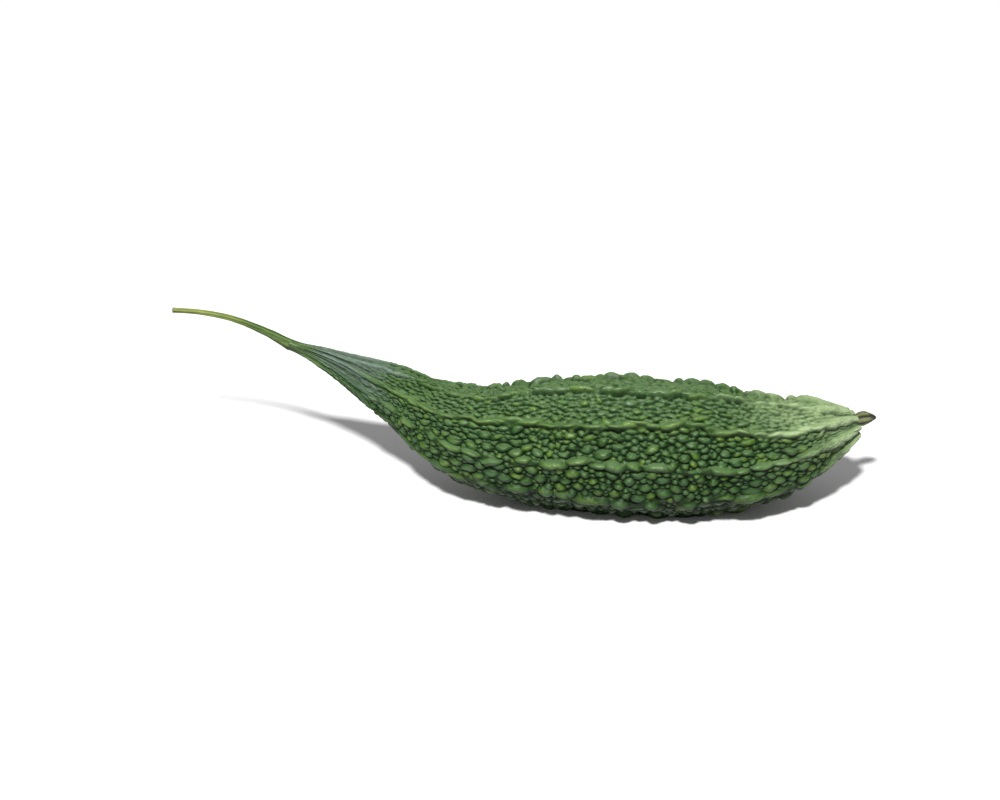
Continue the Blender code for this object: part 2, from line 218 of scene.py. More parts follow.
@dataclass
class SkinMap:
    """The fruit's map: its ridges and where its warts grow, as in the solids.

    The fields are the fruit's centre line and the sizes of its ridges and warts.
    """

    stations: tuple[tuple[float, ...], ...] = (
        (-82.6, 26.0, 45.1, 2.9),
        (-71.7, 23.0, 41.6, 3.7),
        (-62.7, 20.0, 38.2, 5.3),
        (-43.5, 10.5, 31.2, 10.2),
        (-16.1, -4.5, 23.7, 18.2),
        (13.6, -8.5, 22.6, 23.7),
        (41.4, -11.5, 22.7, 24.9),
        (62.2, -12.7, 22.4, 24.0),
        (76.1, -13.0, 22.0, 21.4),
        (90.2, -11.0, 22.7, 18.1),
        (101.1, -6.8, 23.9, 14.0),
        (109.4, -3.2, 24.9, 9.9),
        (115.6, -0.3, 25.8, 5.9),
    )
    ridges: tuple[Ridge, ...] = (
        Ridge(11.0, 0.95, 0.60, RidgeForm.FINE),
        Ridge(47.0, 1.05, 0.25, RidgeForm.THIN),
        Ridge(83.0, 0.95, 0.80, RidgeForm.KNOBBLY),
        Ridge(119.0, 1.00, 0.80, RidgeForm.KNOBBLY),
        Ridge(160.0, 1.00, 0.35, RidgeForm.KNOBBLY),
        Ridge(198.0, 1.00, 0.30, RidgeForm.KNOBBLY),
        Ridge(234.0, 0.95, 0.80, RidgeForm.KNOBBLY),
        Ridge(268.0, 1.05, 0.30, RidgeForm.THIN),
        Ridge(302.0, 0.95, 0.80, RidgeForm.KNOBBLY),
        Ridge(337.0, 1.00, 0.60, RidgeForm.FINE),
    )
    ridge_height: float = 3.3
    ridge_half_width: float = 1.75
    bank: Span = (0.22, 2.6)  # the ground's rise over the ridge's height, and its reach in half widths
    sway: tuple[Span, ...] = ((0.045, 62.0), (0.020, 19.0))  # radians and wave lengths
    sway_shift: float = 2.4
    swelling_length: float = 11.0
    swelling_drift: Span = (1.6, 47.0)  # radians and wave length
    swelling_shift: float = 1.9
    dip_power: int = 3
    relief_power: float = 0.9
    width_power: float = 0.6
    spacing_power: float = 0.55
    tip_zone: float = 26.0
    tip_rise: float = 1.1
    neck_zone: float = 52.0
    neck_stretch: float = 1.9
    tip_stretch: float = 1.1
    wart_spacing: float = 3.7
    wart_least_spacing: float = 1.7
    wart_ends: Span = (0.02, 0.985)  # shares of the map's length
    wart_tries: int = 45000
    crest_clear: float = 0.75
    samples: int = 600
    seed: int = 11
    line: Line = field(init=False)
    s: Array = field(init=False)
    r: Array = field(init=False)
    u: Array = field(init=False)
    end: float = field(init=False)

    def __post_init__(self) -> None:
        """Draws the map along the centre line."""
        self.line = Line(self.stations)
        self.s = np.linspace(0, self.line.length, self.samples)
        self.r = self.line.at(self.s)[:, 3]
        steps = np.diff(self.s) / (self.stretch(self.s) * self.r)[1:]
        self.u = np.concatenate([[0.0], np.cumsum(steps)])
        self.end = float(self.u[-1])

    def tip_share(self, s: Array) -> Array:
        """Rises from 0 to 1 along the tip's zone."""
        return smooth((s - self.line.length + self.tip_zone) / self.tip_zone)

    def stretch(self, s: Array) -> Array:
        """How many times longer than wide a wart grows."""
        neck = smooth(1 - s / self.neck_zone)
        return 1 + self.neck_stretch * neck + self.tip_stretch * self.tip_share(s)

    def length_at(self, u: Array | float) -> Array:
        """The length along the centre line."""
        return np.interp(u, self.u, self.s)

    def radius_at(self, u: Array | float) -> Array:
        """The radius over the ridges."""
        return np.interp(u, self.u, self.r)

    def relief_at(self, u: Array | float) -> Array:
        """The height of a full ridge: less on the thin neck, more at the ribbed tip."""
        share = (self.radius_at(u) / BELLY_RADIUS) ** self.relief_power
        return self.ridge_height * share * (1 + self.tip_rise * self.tip_share(self.length_at(u)))

    def ridge_width_at(self, u: Array | float) -> Array:
        """The half width of a ridge."""
        return self.ridge_half_width * (self.radius_at(u) / BELLY_RADIUS) ** self.width_power

    def crest_angle(self, number: int, u: Array | float) -> Array:
        """The ridge's angle, which sways as it runs.

        Args:
            number: which ridge.
            u: places along the map.

        Returns:
            Angles in radians.
        """
        s = self.length_at(u)
        angle = math.radians(self.ridges[number].degrees)
        for turn, (sway, wave) in enumerate(self.sway):
            angle = angle + sway * np.sin(TURN * s / wave + self.sway_shift * number * (turn + 1))
        return angle

    def swelling_phase(self, number: int, s: Array) -> Array:
        """Where a ridge is between two dips.

        Args:
            number: which ridge.
            s: lengths along the centre line.

        Returns:
            Angles in radians, whole turns at the dips.
        """
        drift, wave = self.swelling_drift
        phase = TURN * s / self.swelling_length + drift * np.sin(TURN * s / wave + number)
        return phase + self.swelling_shift * number

    def crest_share(self, number: int, u: Array) -> Array:
        """The share of its height that the ridge has: long swellings with a dip after each.

        Args:
            number: which ridge.
            u: places along the map.

        Returns:
            Shares of the full relief.
        """
        s = self.length_at(u)
        ridge = self.ridges[number]
        ends = smooth(s / self.neck_zone) * smooth((self.line.length - s) / self.tip_zone)
        dips = (0.5 + 0.5 * np.cos(self.swelling_phase(number, s))) ** self.dip_power
        return ridge.height * (1 - ridge.breaks * ends * dips)

    def ridge_distance(self, u: Array, v: Array) -> Array:
        """How far each point is from the nearest ridge line.

        Args:
            u: places along the map.
            v: angles.

        Returns:
            Distances in mm.
        """
        away = [np.abs(apart(v, self.crest_angle(k, u))) for k in range(len(self.ridges))]
        return np.min(away, axis=0) * self.radius_at(u)

    def scatter_warts(self) -> Array:
        """Throws warts at the map one by one, and keeps each that has room to grow.

        Returns:
            A row of u and v for each wart.
        """
        rng = np.random.default_rng(self.seed)
        first, last = (share * self.end for share in self.wart_ends)
        tries = rng.uniform((first, 0), (last, TURN), (self.wart_tries, 2))
        radius = self.radius_at(tries[:, 0])
        spacing = self.wart_spacing * (radius / BELLY_RADIUS) ** self.spacing_power
        spacing = np.maximum(spacing, self.wart_least_spacing)
        beside = self.ridge_distance(*tries.T) - self.crest_clear * self.ridge_width_at(tries[:, 0])
        room = beside > spacing / 3
        kept = np.empty((0, 2))
        for place, r, least in zip(tries[room], radius[room], spacing[room], strict=True):
            away = np.hypot(kept[:, 0] - place[0], apart(kept[:, 1], place[1])) * r
            if away.min(initial=np.inf) > least:
                kept = np.vstack([kept, place])
        return kept


@dataclass
class Grid:
    """A grid of corners over the map, finer where the beads are round than where they draw out."""

    skin: SkinMap
    rows: int = 540
    columns: int = 480
    neck_coarseness: float = 0.9
    warp: float = 0.17  # how far the map is bent, in mm
    warp_lengths: Span = (3.5, 10.0)
    warp_waves: int = 14
    seed: int = 7
    s: Array = field(init=False)
    u: Array = field(init=False)
    v: Array = field(init=False)
    radius: Array = field(init=False)
    bent_u: Array = field(init=False)
    bent_v: Array = field(init=False)

    def __post_init__(self) -> None:
        """Spaces the rows, and bends the map a little so that no bead is a true oval."""
        s = self.skin.s
        step = 1 + self.neck_coarseness * smooth(1 - s / self.skin.neck_zone)
        spent = np.concatenate([[0.0], np.cumsum(np.diff(s) / step[1:])])
        self.s = np.interp(np.linspace(0, spent[-1], self.rows), spent, s)
        self.u = np.interp(self.s, s, self.skin.u)
        self.v = np.arange(self.columns) * TURN / self.columns
        self.radius = self.skin.radius_at(self.u)
        rng = np.random.default_rng(self.seed)
        shift = self.warp / self.radius[:, None] * (self.radius[:, None] / BELLY_RADIUS) ** 0.5
        self.bent_u = self.u[:, None] + shift * self.ripples(rng)
        self.bent_v = self.v[None, :] + shift * self.ripples(rng)

    def shape(self) -> tuple[int, int]:
        """Rows and columns."""
        return self.rows, self.columns

    def corners(self) -> Sequence[Array]:
        """Gives the length, the place on the map and the angle of each corner."""
        return np.broadcast_arrays(self.s[:, None], self.u[:, None], self.v)

    def ripples(self, rng: np.random.Generator, coarser: float = 1.0) -> Array:
        """Adds up waves that run in all directions and close round the fruit.

        Args:
            rng: what draws them.
            coarser: how many times longer than the grid's own waves.

        Returns:
            Values about 0 by row and column.
        """
        total = np.zeros(self.shape())
        for _ in range(self.warp_waves):
            length = rng.uniform(*self.warp_lengths) * coarser
            way = rng.uniform(0, math.pi)
            around = round(math.sin(way) * TURN * BELLY_RADIUS / length)
            along = math.cos(way) * TURN / length
            total += np.cos(around * self.v[None, :] + along * self.s[:, None] + rng.uniform(0, TURN))
        return total / math.sqrt(self.warp_waves / 2)

    def window(self, bead: Bead, reach: float) -> tuple[tuple[Array, Array], Array, Array]:
        """Finds the corners round a bead, and how far off they are.

        Args:
            bead: the bead.
            reach: how many of its radii to look.

        Returns:
            The index of the corners, a distance for each that is 1 at the bead's rim, and the gap
            in mm between each and the rim.
        """
        local = float(self.skin.radius_at(bead.u))
        span = (reach * bead.radius * bead.aspect + 2 * self.warp) / local
        low, high = np.searchsorted(self.u, (bead.u - span, bead.u + span))
        wide = min(math.ceil(span / TURN * self.columns), self.columns // 2 - 1)
        middle = round(bead.v / TURN * self.columns)
        where = np.ix_(np.arange(low, high), np.arange(middle - wide, middle + wide + 1) % self.columns)
        du = self.bent_u[where] - bead.u
        dv = apart(self.bent_v[where], bead.v)
        along = du * math.cos(bead.turn) + dv * math.sin(bead.turn)
        across = dv * math.cos(bead.turn) - du * math.sin(bead.turn)
        away = np.hypot(along / bead.aspect, across) * local / bead.radius + 1e-6
        gap = np.hypot(along, across) * local * (1 - 1 / away)
        return where, away, gap


@dataclass
class BeadField:
    """All that stands up between the ridges: warts as in the solids, and small beads between them."""

    skin: SkinMap
    grid: Grid
    wart_share: Span = (0.40, 0.54)  # radius over the distance to the nearest wart
    wart_aspect: Span = (0.95, 1.55)
    wart_turn: float = 0.35
    bead_least: float = 0.28
    bead_most: float = 1.30
    bead_overlap: float = 0.42
    bead_limit: int = 9000
    bead_aspect: Span = (1.0, 1.3)
    bead_turn: Span = (-0.5, 0.5)
    bead_luck: Span = (0.85, 1.15)
    bead_patches: float = 0.22
    bead_ends: Span = (12.0, 8.0)  # over what lengths they start and stop
    bead_by_ridge: Span = (0.9, 0.5)  # half widths that a ridge holds, and how far they lap it
    room_reach: float = 2.5  # how far round a bead its gap is measured
    tones: Span = (0.0, 1.0)
    steepness: Span = (0.70, 1.10)
    pointedness: Span = (0.50, 0.95)
    lump_jitter: Span = (-0.12, 0.12)
    lump_turn: float = 0.10
    lump_height: Span = (0.70, 1.06)
    lump_pointedness: Span = (0.50, 0.65)
    lump_yellow: Span = (0.45, 1.0)
    lump_width_power: float = 0.40
    lump_stretch: float = 1.1
    lump_stretch_zone: float = 85.0
    upper_smaller: float = 0.30
    upper_longer: float = 0.55
    upper_middle: float = 0.1  # the angle where the warts are longest
    tip_longer: float = 0.7
    neck_longer: Span = (1.1, 78.0)  # how much, and over what length
    thinner: float = 0.35  # a wart's radius falls by this power of how much longer it is
    seed: int = 5
    rng: np.random.Generator = field(init=False)

    def __post_init__(self) -> None:
        """Seeds the draws."""
        self.rng = np.random.default_rng(self.seed)

    def draw(self, span: Span) -> float:
        """Draws a number between two."""
        return float(self.rng.uniform(*span))

    def longer(self, u: float, v: float) -> float:
        """How much longer than elsewhere a wart is: at both ends, and on the fruit's upper side.

        Args:
            u: the place along the map.
            v: its angle.

        Returns:
            The factor.
        """
        s = self.skin.length_at(u)
        much, zone = self.neck_longer
        ends = self.tip_longer * float(self.skin.tip_share(s)) + much * float(smooth(1 - s / zone))
        return 1 + ends + self.upper_longer * max(0.0, math.cos(v - self.upper_middle)) ** 2

    def sprout(self, u: float, v: float, radius: float, aspect: float, turn: float) -> Bead:
        """Gives a wart or a bead a steepness, a shade and a point of its own.

        Args:
            u: its place on the map.
            v: its angle.
            radius: its radius across.
            aspect: how many times longer it is.
            turn: how far it is turned from the fruit's line.

        Returns:
            The wart.
        """
        steepness, tone = self.draw(self.steepness), self.draw(self.tones)
        return Bead(u, v, radius, aspect, turn, steepness, tone, self.draw(self.pointedness))

    def warts(self) -> Iterator[Bead]:
        """Grows the warts of the solids, a little irregular.

        Yields:
            A bead for each wart.
        """
        places = self.skin.scatter_warts()
        local = self.skin.radius_at(places[:, 0])
        along = places[:, None, 0] - places[:, 0]
        around = apart(places[:, None, 1], places[:, 1])
        away = np.hypot(along, around) * local[:, None]
        np.fill_diagonal(away, np.inf)
        for (u, v), gap in zip(places.tolist(), away.min(axis=1).tolist(), strict=True):
            longer = self.longer(u, v)
            smaller = (1 - self.upper_smaller * max(0.0, math.cos(v))) / longer**self.thinner
            radius = self.draw(self.wart_share) * gap * smaller
            aspect = self.draw(self.wart_aspect) * longer
            yield self.sprout(u, v, radius, aspect, float(self.rng.normal(0, self.wart_turn / longer)))

    def lumps(self) -> Iterator[Bead]:
        """Sets lumps along each ridge, one or more at each of its swellings.

        Yields:
            The lumps, ridge by ridge.
        """
        s = self.skin.s
        for number, ridge in enumerate(self.skin.ridges):
            form = ridge.form.value
            phase = self.skin.swelling_phase(number, s) / TURN
            turns = np.arange(math.ceil(phase.min()), math.floor(phase.max()), 1 / form.crowding) + 0.5
            turns = turns + self.rng.uniform(*self.lump_jitter, len(turns))
            for middle in np.interp(turns, phase, s):
                u = float(np.interp(middle, s, self.skin.u))
                local = float(self.skin.radius_at(u))
                shrink = (local / BELLY_RADIUS) ** self.lump_width_power
                side = float(self.rng.normal(0, form.off_line)) * shrink / local
                drawn_out = 1 + self.lump_stretch * float(smooth(1 - middle / self.lump_stretch_zone))
                yield Bead(
                    u,
                    (float(self.skin.crest_angle(number, u)) + side) % TURN,
                    self.draw(form.half_width) * shrink,
                    self.draw(form.aspect) * drawn_out,
                    float(self.rng.normal(0, self.lump_turn)),
                    self.draw(self.lump_height) * ridge.height,
                    self.draw(self.tones),
                    self.draw(self.lump_pointedness),
                    form.yellow * self.draw(self.lump_yellow),
                )

    def small_beads(self, grown: Sequence[Bead]) -> Iterator[Bead]:
        """Fills what is left between the warts and ridges, the largest gap first.

        Args:
            grown: the beads that are there already.

        Yields:
            Beads, each as large as its gap.
        """
        grid, skin = self.grid, self.skin
        s, u, v = grid.corners()
        room = np.full(grid.shape(), self.bead_most * 2)
        held, lap = self.bead_by_ridge
        for number in range(len(skin.ridges)):
            away = np.abs(apart(v, skin.crest_angle(number, u))) * skin.radius_at(u)
            width = held * skin.ridge_width_at(u) * skin.crest_share(number, u)
            room = np.minimum(room, away - width + lap)
        start, stop = self.bead_ends
        shrink = (grid.radius / BELLY_RADIUS)[:, None] ** skin.spacing_power
        ends = smooth(s / start) * smooth((skin.line.length - s) / stop)
        taste = (1 + self.bead_patches * grid.ripples(self.rng)) * ends / shrink
        taste = taste * self.rng.uniform(*self.bead_luck, grid.shape())
        for bead in grown:
            self.take_room(room, bead)
        score = room * taste
        for _ in range(self.bead_limit):
            row, column = np.unravel_index(np.argmax(score), grid.shape())
            if score[row, column] < self.bead_least:
                return
            scale = float(shrink[row, 0])
            radius = min(float(room[row, column]) + self.bead_overlap * scale, self.bead_most * scale)
            place = (float(grid.u[row]), float(grid.v[column]))
            longer = self.longer(*place)
            aspect = self.draw(self.bead_aspect) * longer
            turn = self.draw(self.bead_turn) / longer
            bead = self.sprout(*place, radius / longer**self.thinner, aspect, turn)
            where = self.take_room(room, bead)
            score[where] = room[where] * taste[where]
            yield bead

    def take_room(self, room: Array, bead: Bead) -> tuple[Array, Array]:
        """Lessens the room round a bead.

        Args:
            room: distance to the nearest rim, at each corner of the grid.
            bead: the bead.

        Returns:
            The index of the corners round it.
        """
        where, _, gap = self.grid.window(bead, 1 + self.room_reach / bead.radius)
        room[where] = np.minimum(room[where], gap)
        return where


@dataclass
class Growth:
    """What grows at each corner of the skin: heights over the ground in mm, and shares."""

    ridges: Array  # the height of the ridges and their lumps
    beads: Array  # the height of the warts and small beads
    bank: Array  # the ground's own rise beside a ridge
    tops: Array  # 0 in the crevices, 1 on the tops
    crest: Array  # how much of a ridge's colour
    tone: Array  # each bead's own shade
    rib: Array  # 1 on a rib of the blossom end, 0 between two


@dataclass
class FruitSkin:
    """The fruit: one closed skin from the neck to the toothed crown, in three lengths."""

    skin: SkinMap = field(default_factory=SkinMap)
    lengths: tuple[str, ...] = ("fruit_neck", "fruit_belly", "fruit_tip")
    ridge_power: float = 0.60
    ridge_dome: float = 0.95  # the rim of a ridge, over its half width
    ridge_base: float = 0.50  # the share of a ridge that runs on under its lumps
    ridge_unevenness: float = 0.34
    ridge_least: float = 0.4  # the narrowest that this makes a ridge
    ridge_ripples: float = 1.3  # how much coarser than the grid's own ripples
    ridge_shine: Triple = (0.70, 4.6, 13.0)  # mean yellow, and its waves' lengths
    shine_shift: Span = (3.0, 1.5)  # of its waves: from ridge to ridge, and as they run, in radians
    crest_start: Span = (32.0, 24.0)  # where a ridge's colour starts, and over what length
    crest_reach: float = 2.0  # how far it reaches beside the ridge, in half widths
    rib_spread: float = 0.45  # the half width of a rib at the tip, over the ribs' spacing
    lump_tip_loss: float = 0.4  # how much lower the lumps are at the blossom end
    undulation: float = 0.35  # of the ground, in mm
    undulation_lengths: Span = (5.2, 11.0)
    grain: Span = (0.065, 0.30)  # height, and how much coarser than the grid's own ripples
    tip_bumps: Span = (0.17, 0.8)  # the same for the blossom end's bumps
    bead_start: Span = (12.0, 36.0)  # where the beads start, and where they have their height
    bead_start_above: Span = (6.0, 0.3)  # how much later on the upper side, and the angle of its middle
    bead_start_power: float = 0.7
    bead_tip_loss: float = 0.45
    bead_edge_loss: Span = (0.6, 7.0)  # how much lower at the crown's edge, and over what length
    bead_top: Span = (0.55, 0.35)  # how light the top of the least bead is, and how much lighter by mm
    bead_overlap_top: float = 0.6
    neck_lines: int = 30
    neck_line_depth: float = 0.24
    neck_line_wander: Span = (1.6, 1.2)  # in radians: round the neck, and along it
    neck_line_split: float = 0.35  # how strong the lines between two lines are
    neck_line_lengths: Span = (9.0, 6.0)  # of the wander, and of the split
    neck_line_reach: float = 46.0
    neck_tops: Triple = (0.45, 0.38, 0.3)  # how light the neck is, and how much its lines and lumps add
    neck_root: Span = (2.00, 15.0)  # the radius under the stem, and the length until the skin has its own
    shoulders: tuple[Triple, ...] = (
        # height, place and reach
        (1.7, 38.0, 15.0),
        (1.4, 201.0, 9.0),
    )
    shoulder_turn: float = 0.44
    painted_ridge_shadow: Triple = (0.16, 1.12, 0.22)  # painted shadow under the ridge at 47 degrees, darker tops on the front: share, angle, reach
    tooth_length: float = 0.7
    tooth_uneven: Span = (0.25, 1.9)  # how much longer the longest is, and its angle
    tooth_loss: float = 0.6  # how much less they stand out at the scar
    tooth_root: float = 5.0
    crown_filling: float = 0.40
    crown_zone: float = 13.0
    crown_rows: int = 22
    crown_bulge: float = 1.1
    crown_bulge_between: float = 0.4  # the share of it between two teeth
    crown_edge: float = 0.34
    crown_dish: float = 1.1
    scar_radius: float = 1.7
    scar_depth: float = 1.5
    scar_rings: tuple[Span, ...] = ((1.0, 0.6), (0.9, 1.0), (0.4, 1.0))  # shares of its radius and depth
    bloom_reach: Triple = (11.0, 46.0, 15.0)  # rise, end, and fade before the end
    bloom_start: Span = (4.0, 0.2)  # where it starts, and how much of the streaks shows there
    bloom_side: Span = (0.15, 0.20)  # the angle of its middle, and how far it goes past the sides
    bloom_streaks: tuple[Wave, ...] = ((6.0, 5, 1.0), (4.0, 13, 0.0), (2.0, 31, 0.0))
    pale_reach: float = 50.0
    pale_streaks: tuple[Wave, ...] = ((3.5, 4, 0.0), (2.5, 9, 2.0))
    pale_upper: Span = (24.0, 22.0)  # how much earlier on the upper side, and how much later at most below
    pale_side: Span = (0.2, 0.70)  # the angle of the upper side's middle, and the cosine where it ends
    pale_lead: Span = (11.0, 0.25)  # how much earlier on a rib, and the share of a rib that has no lead
    pale_power: float = 1.4

    def build(self) -> list[bpy.types.Object]:
        """Builds the skin's meshes and what their finish reads.

        Returns:
            The three lengths of skin, whose edges and normals meet.
        """
        grid = Grid(self.skin)
        height, growth = self.relief(grid)
        points = self.rings(grid, height, growth.rib)
        along, _, _ = grid.corners()
        marks = {
            Mark.RELIEF: growth.tops,
            Mark.CREST: growth.crest,
            Mark.TONE: growth.tone,
            Mark.BLOOM: self.bloom(grid),
            Mark.PALE: self.pale(grid, growth.rib),
            Mark.ALONG: along / self.skin.line.length,
        }
        extra = len(points) - grid.rows
        last = {mark: np.repeat(values[-1:], extra, axis=0) for mark, values in marks.items()}
        last[Mark.RELIEF] = last[Mark.RELIEF] * np.linspace(1, 0.1, extra)[:, None]
        marks = {mark: np.concatenate([values, last[mark]]) for mark, values in marks.items()}
        return make_tubes(self.lengths, points, marks)

    def relief(self, grid: Grid) -> tuple[Array, Growth]:
        """Raises all that grows over the ground.

        Args:
            grid: the corners of the skin.

        Returns:
            Distance from the centre line, and what has grown.
        """
        skin = self.skin
        s, u, v = grid.corners()
        tip = skin.tip_share(s)
        crown = smooth((s - skin.line.length) / self.crown_zone + 1)
        full = skin.relief_at(u) * (1 - self.crown_filling * crown)
        rng = np.random.default_rng(grid.seed + 1)
        growth = self.raise_ridges(grid, full, rng)
        self.raise_beads(grid, growth)
        standing = self.bead_share(grid)
        lines, neck = self.neck_pattern(grid), smooth(1 - s / self.neck_line_reach)
        top = np.maximum(growth.ridges, growth.beads * standing)
        grain, grain_size = self.grain
        height = skin.radius_at(u) - full + growth.bank + top + self.neck_line_depth * neck * lines
        height = height + self.swell(grid) + grain * grid.ripples(rng, grain_size)
        bumps, bump_size = self.tip_bumps
        height = height + bumps * tip * grid.ripples(rng, bump_size)
        upward = np.clip(np.cos(v + self.shoulder_turn), 0, None) ** 2
        for raise_by, place, wide in self.shoulders:
            height = height + raise_by * np.exp(-(((s - place) / wide) ** 2)) * upward
        root, reach = self.neck_root
        join = smooth(s / reach)
        height = root * (1 - join) + height * join
        tops = np.maximum(growth.tops * standing, np.clip(growth.ridges / full, 0, 1))
        light, by_line, by_top = self.neck_tops
        tops = np.clip(tops * (1 - neck) + neck * (light + by_line * lines + by_top * tops), 0, 1)
        # painted shadow under the ridge at 47 degrees: the tops on the front are darker
        much, middle, wide = self.painted_ridge_shadow
        growth.tops = tops * (1 - much * np.exp(-((apart(v, middle) / wide) ** 2)) * (1 - tip))
        return height, growth

    def raise_ridges(self, grid: Grid, full: Array, rng: np.random.Generator) -> Growth:
        """Raises the ridges, which turn into broad ribs at the blossom end.

        Args:
            grid: the corners of the skin.
            full: the height of a full ridge at each corner.
            rng: what draws their uneven edges.

        Returns:
            The ridges, and no beads yet.
        """
        skin = self.skin
        s, u, _ = grid.corners()
        radius, width, tip = skin.radius_at(u), skin.ridge_width_at(u), skin.tip_share(s)
        uneven = 1 + self.ridge_unevenness * grid.ripples(rng, self.ridge_ripples) * (1 - tip)
        rim = width * self.ridge_dome * np.clip(uneven, self.ridge_least, None) * (1 - tip)
        rim = rim + self.rib_spread * (TURN * radius / len(skin.ridges)) * tip
        base = self.ridge_base + (1 - self.ridge_base) * tip
        low, wide = skin.bank
        (mean, wave, drift), (shift, wander) = self.ridge_shine, self.shine_shift
        raised, bank, crest, rib = (np.zeros(grid.shape()) for _ in range(4))
        for number, ridge in enumerate(skin.ridges):
            away = np.abs(apart(grid.bent_v, skin.crest_angle(number, u))) * radius
            share = skin.crest_share(number, u)
            arch = dome(away / rim, self.ridge_power)
            raised = np.maximum(raised, base * full * share * arch)
            rib = np.maximum(rib, arch)
            bank = np.maximum(bank, low * full * np.exp(-((away / width / wide) ** 2)))
            shine = mean + (1 - mean) * np.sin(s / wave + shift * number + wander * np.sin(s / drift))
            beside = smooth(self.crest_reach - away / width)
            crest = np.maximum(crest, shine * ridge.form.value.yellow * share * beside)
        tops = np.clip(raised / full, 0, 1)
        return Growth(raised, np.zeros(grid.shape()), bank, tops, crest, np.full(grid.shape(), 0.5), rib)

    def raise_beads(self, grid: Grid, growth: Growth) -> None:
        """Raises the lumps over the ridges, and the warts and small beads between them.

        Args:
            grid: the corners of the skin.
            growth: the ridges, which get their lumps and beads.
        """
        skin = self.skin
        beads = BeadField(skin, grid)
        lumps = list(beads.lumps())
        warts = list(beads.warts())
        small = list(beads.small_beads([*lumps, *warts]))
        for lump in lumps:
            tip = float(skin.tip_share(skin.length_at(lump.u)))
            scale = float(skin.relief_at(lump.u)) * (1 - self.lump_tip_loss * tip)
            self.raise_bead(grid, lump, scale, growth.ridges, growth)
        start, zone = self.crest_start
        growth.crest *= smooth((grid.s[:, None] - start) / zone)
        for bead in [*warts, *small]:
            self.raise_bead(grid, bead, bead.radius, growth.beads, growth)
        log.info("lumps %d, warts %d, small beads %d", len(lumps), len(warts), len(small))

    def raise_bead(self, grid: Grid, bead: Bead, scale: float, heights: Array, growth: Growth) -> None:
        """Raises one bead over what is there.

        Args:
            grid: the corners of the skin.
            bead: the bead.
            scale: what the bead's height is a share of, in mm.
            heights: the heights that it grows over.
            growth: the marks, which the bead takes over where it is on top.
        """
        where, away, _ = grid.window(bead, 1.0)
        arch = dome(away, bead.power)
        height = bead.height * scale * arch
        above = height > heights[where]
        heights[where] = np.where(above, height, heights[where])
        least, by_radius = self.bead_top
        light = arch * min(1.0, least + by_radius * bead.radius)
        tops = growth.tops[where]
        growth.tops[where] = np.where(above, np.maximum(light, self.bead_overlap_top * tops), tops)
        growth.tone[where] = np.where(above, bead.tone, growth.tone[where])
        growth.crest[where] = np.maximum(growth.crest[where], bead.crest * arch)

    def bead_share(self, grid: Grid) -> Array:
        """Gives the share of its height that a bead keeps: none on the neck, less at the blossom end.

        Args:
            grid: the corners of the skin.

        Returns:
            Shares by row and column.
        """
        s, _, v = grid.corners()
        (start, end), (later, middle) = self.bead_start, self.bead_start_above
        begun = smooth((s - start - later * np.cos(v - middle)) / (end - start)) ** self.bead_start_power
        loss, zone = self.bead_edge_loss
        edge = smooth((s - self.skin.line.length + zone) / zone)
        return begun * (1 - self.bead_tip_loss * self.skin.tip_share(s)) * (1 - loss * edge)

    def neck_pattern(self, grid: Grid) -> Array:
        """Draws the neck's fine lines, which wander and part as they run.

        Args:
            grid: the corners of the skin.

        Returns:
            The lines' waves by row and column, about 0.
        """
        s, _, v = grid.corners()
        (by_angle, by_length), (bend, split) = self.neck_line_wander, self.neck_line_lengths
        turned = self.neck_lines * v + by_angle * np.sin(3 * v) + by_length * np.sin(s / bend + 5 * v)
        return np.cos(turned) + self.neck_line_split * np.cos(2 * turned + 1 + s / split)

    def swell(self, grid: Grid) -> Array:
        """Lets the ground rise and fall a little past the neck.

        Args:
            grid: the corners of the skin.

        Returns:
            Heights by row and column, in mm.
        """
        s, _, v = grid.corners()
        short, long = self.undulation_lengths
        waves = np.sin(s / short + 2 * np.sin(2 * v)) * np.sin(3 * v + s / long)
        return self.undulation * waves * smooth(s / self.skin.neck_zone)

    def rings(self, grid: Grid, height: Array, rib: Array) -> Array:
        """Places the corners, and closes the blossom end with a toothed crown round the scar.

        Args:
            grid: the corners of the skin.
            height: their distance from the centre line.
            rib: the share of a rib.

        Returns:
            Points by row and column, in mm.
        """
        line = self.skin.line
        s, _, v = grid.corners()
        uneven, longest = self.tooth_uneven
        between = self.crown_bulge_between
        long = self.tooth_length * (1 + uneven * np.cos(grid.v - longest))
        out = long * rib * smooth((s - line.length) / self.tooth_root + 1)
        body = line.place(s, v, height, out)
        rim, teeth = height[-1], rib[-1]
        end = np.full(grid.columns, line.length)
        crown = []
        for step in np.linspace(0, 1, self.crown_rows + 1)[1:] ** 2:
            turned = 1 - min(step / self.crown_edge, 1.0)
            bulge = self.crown_bulge * math.sqrt(1 - turned**2) * (between + (1 - between) * teeth)
            dish = self.crown_dish * smooth((step - self.crown_edge) / (1 - self.crown_edge))
            ahead = long * teeth * (1 - self.tooth_loss * step) + bulge - dish
            crown.append(line.place(end, grid.v, rim + (self.scar_radius - rim) * step, ahead))
        for share_in, depth in self.scar_rings:
            inner = np.full(grid.columns, self.scar_radius * share_in)
            crown.append(line.place(end, grid.v, inner, -self.scar_depth * depth))
        points = np.concatenate([body, np.array(crown)])
        points[..., 2] = np.maximum(points[..., 2], 0.0)
        return points

    def bloom(self, grid: Grid) -> Array:
        """Where the neck's wax bloom and its painted sheen lie: most on the upper side, and in streaks
        where it ends.

        Args:
            grid: the corners of the skin.

        Returns:
            Shares by row and column.
        """
        rise, end, fade = self.bloom_reach
        start, of_streak = self.bloom_start
        middle, past = self.bloom_side
        s = grid.s[:, None]
        streak = waves_round(grid.v, self.bloom_streaks)
        rising = smooth((s - start - of_streak * streak) / rise)
        falling = smooth((end - s + streak) / fade)
        return rising * falling * smooth(np.cos(grid.v - middle) + past)

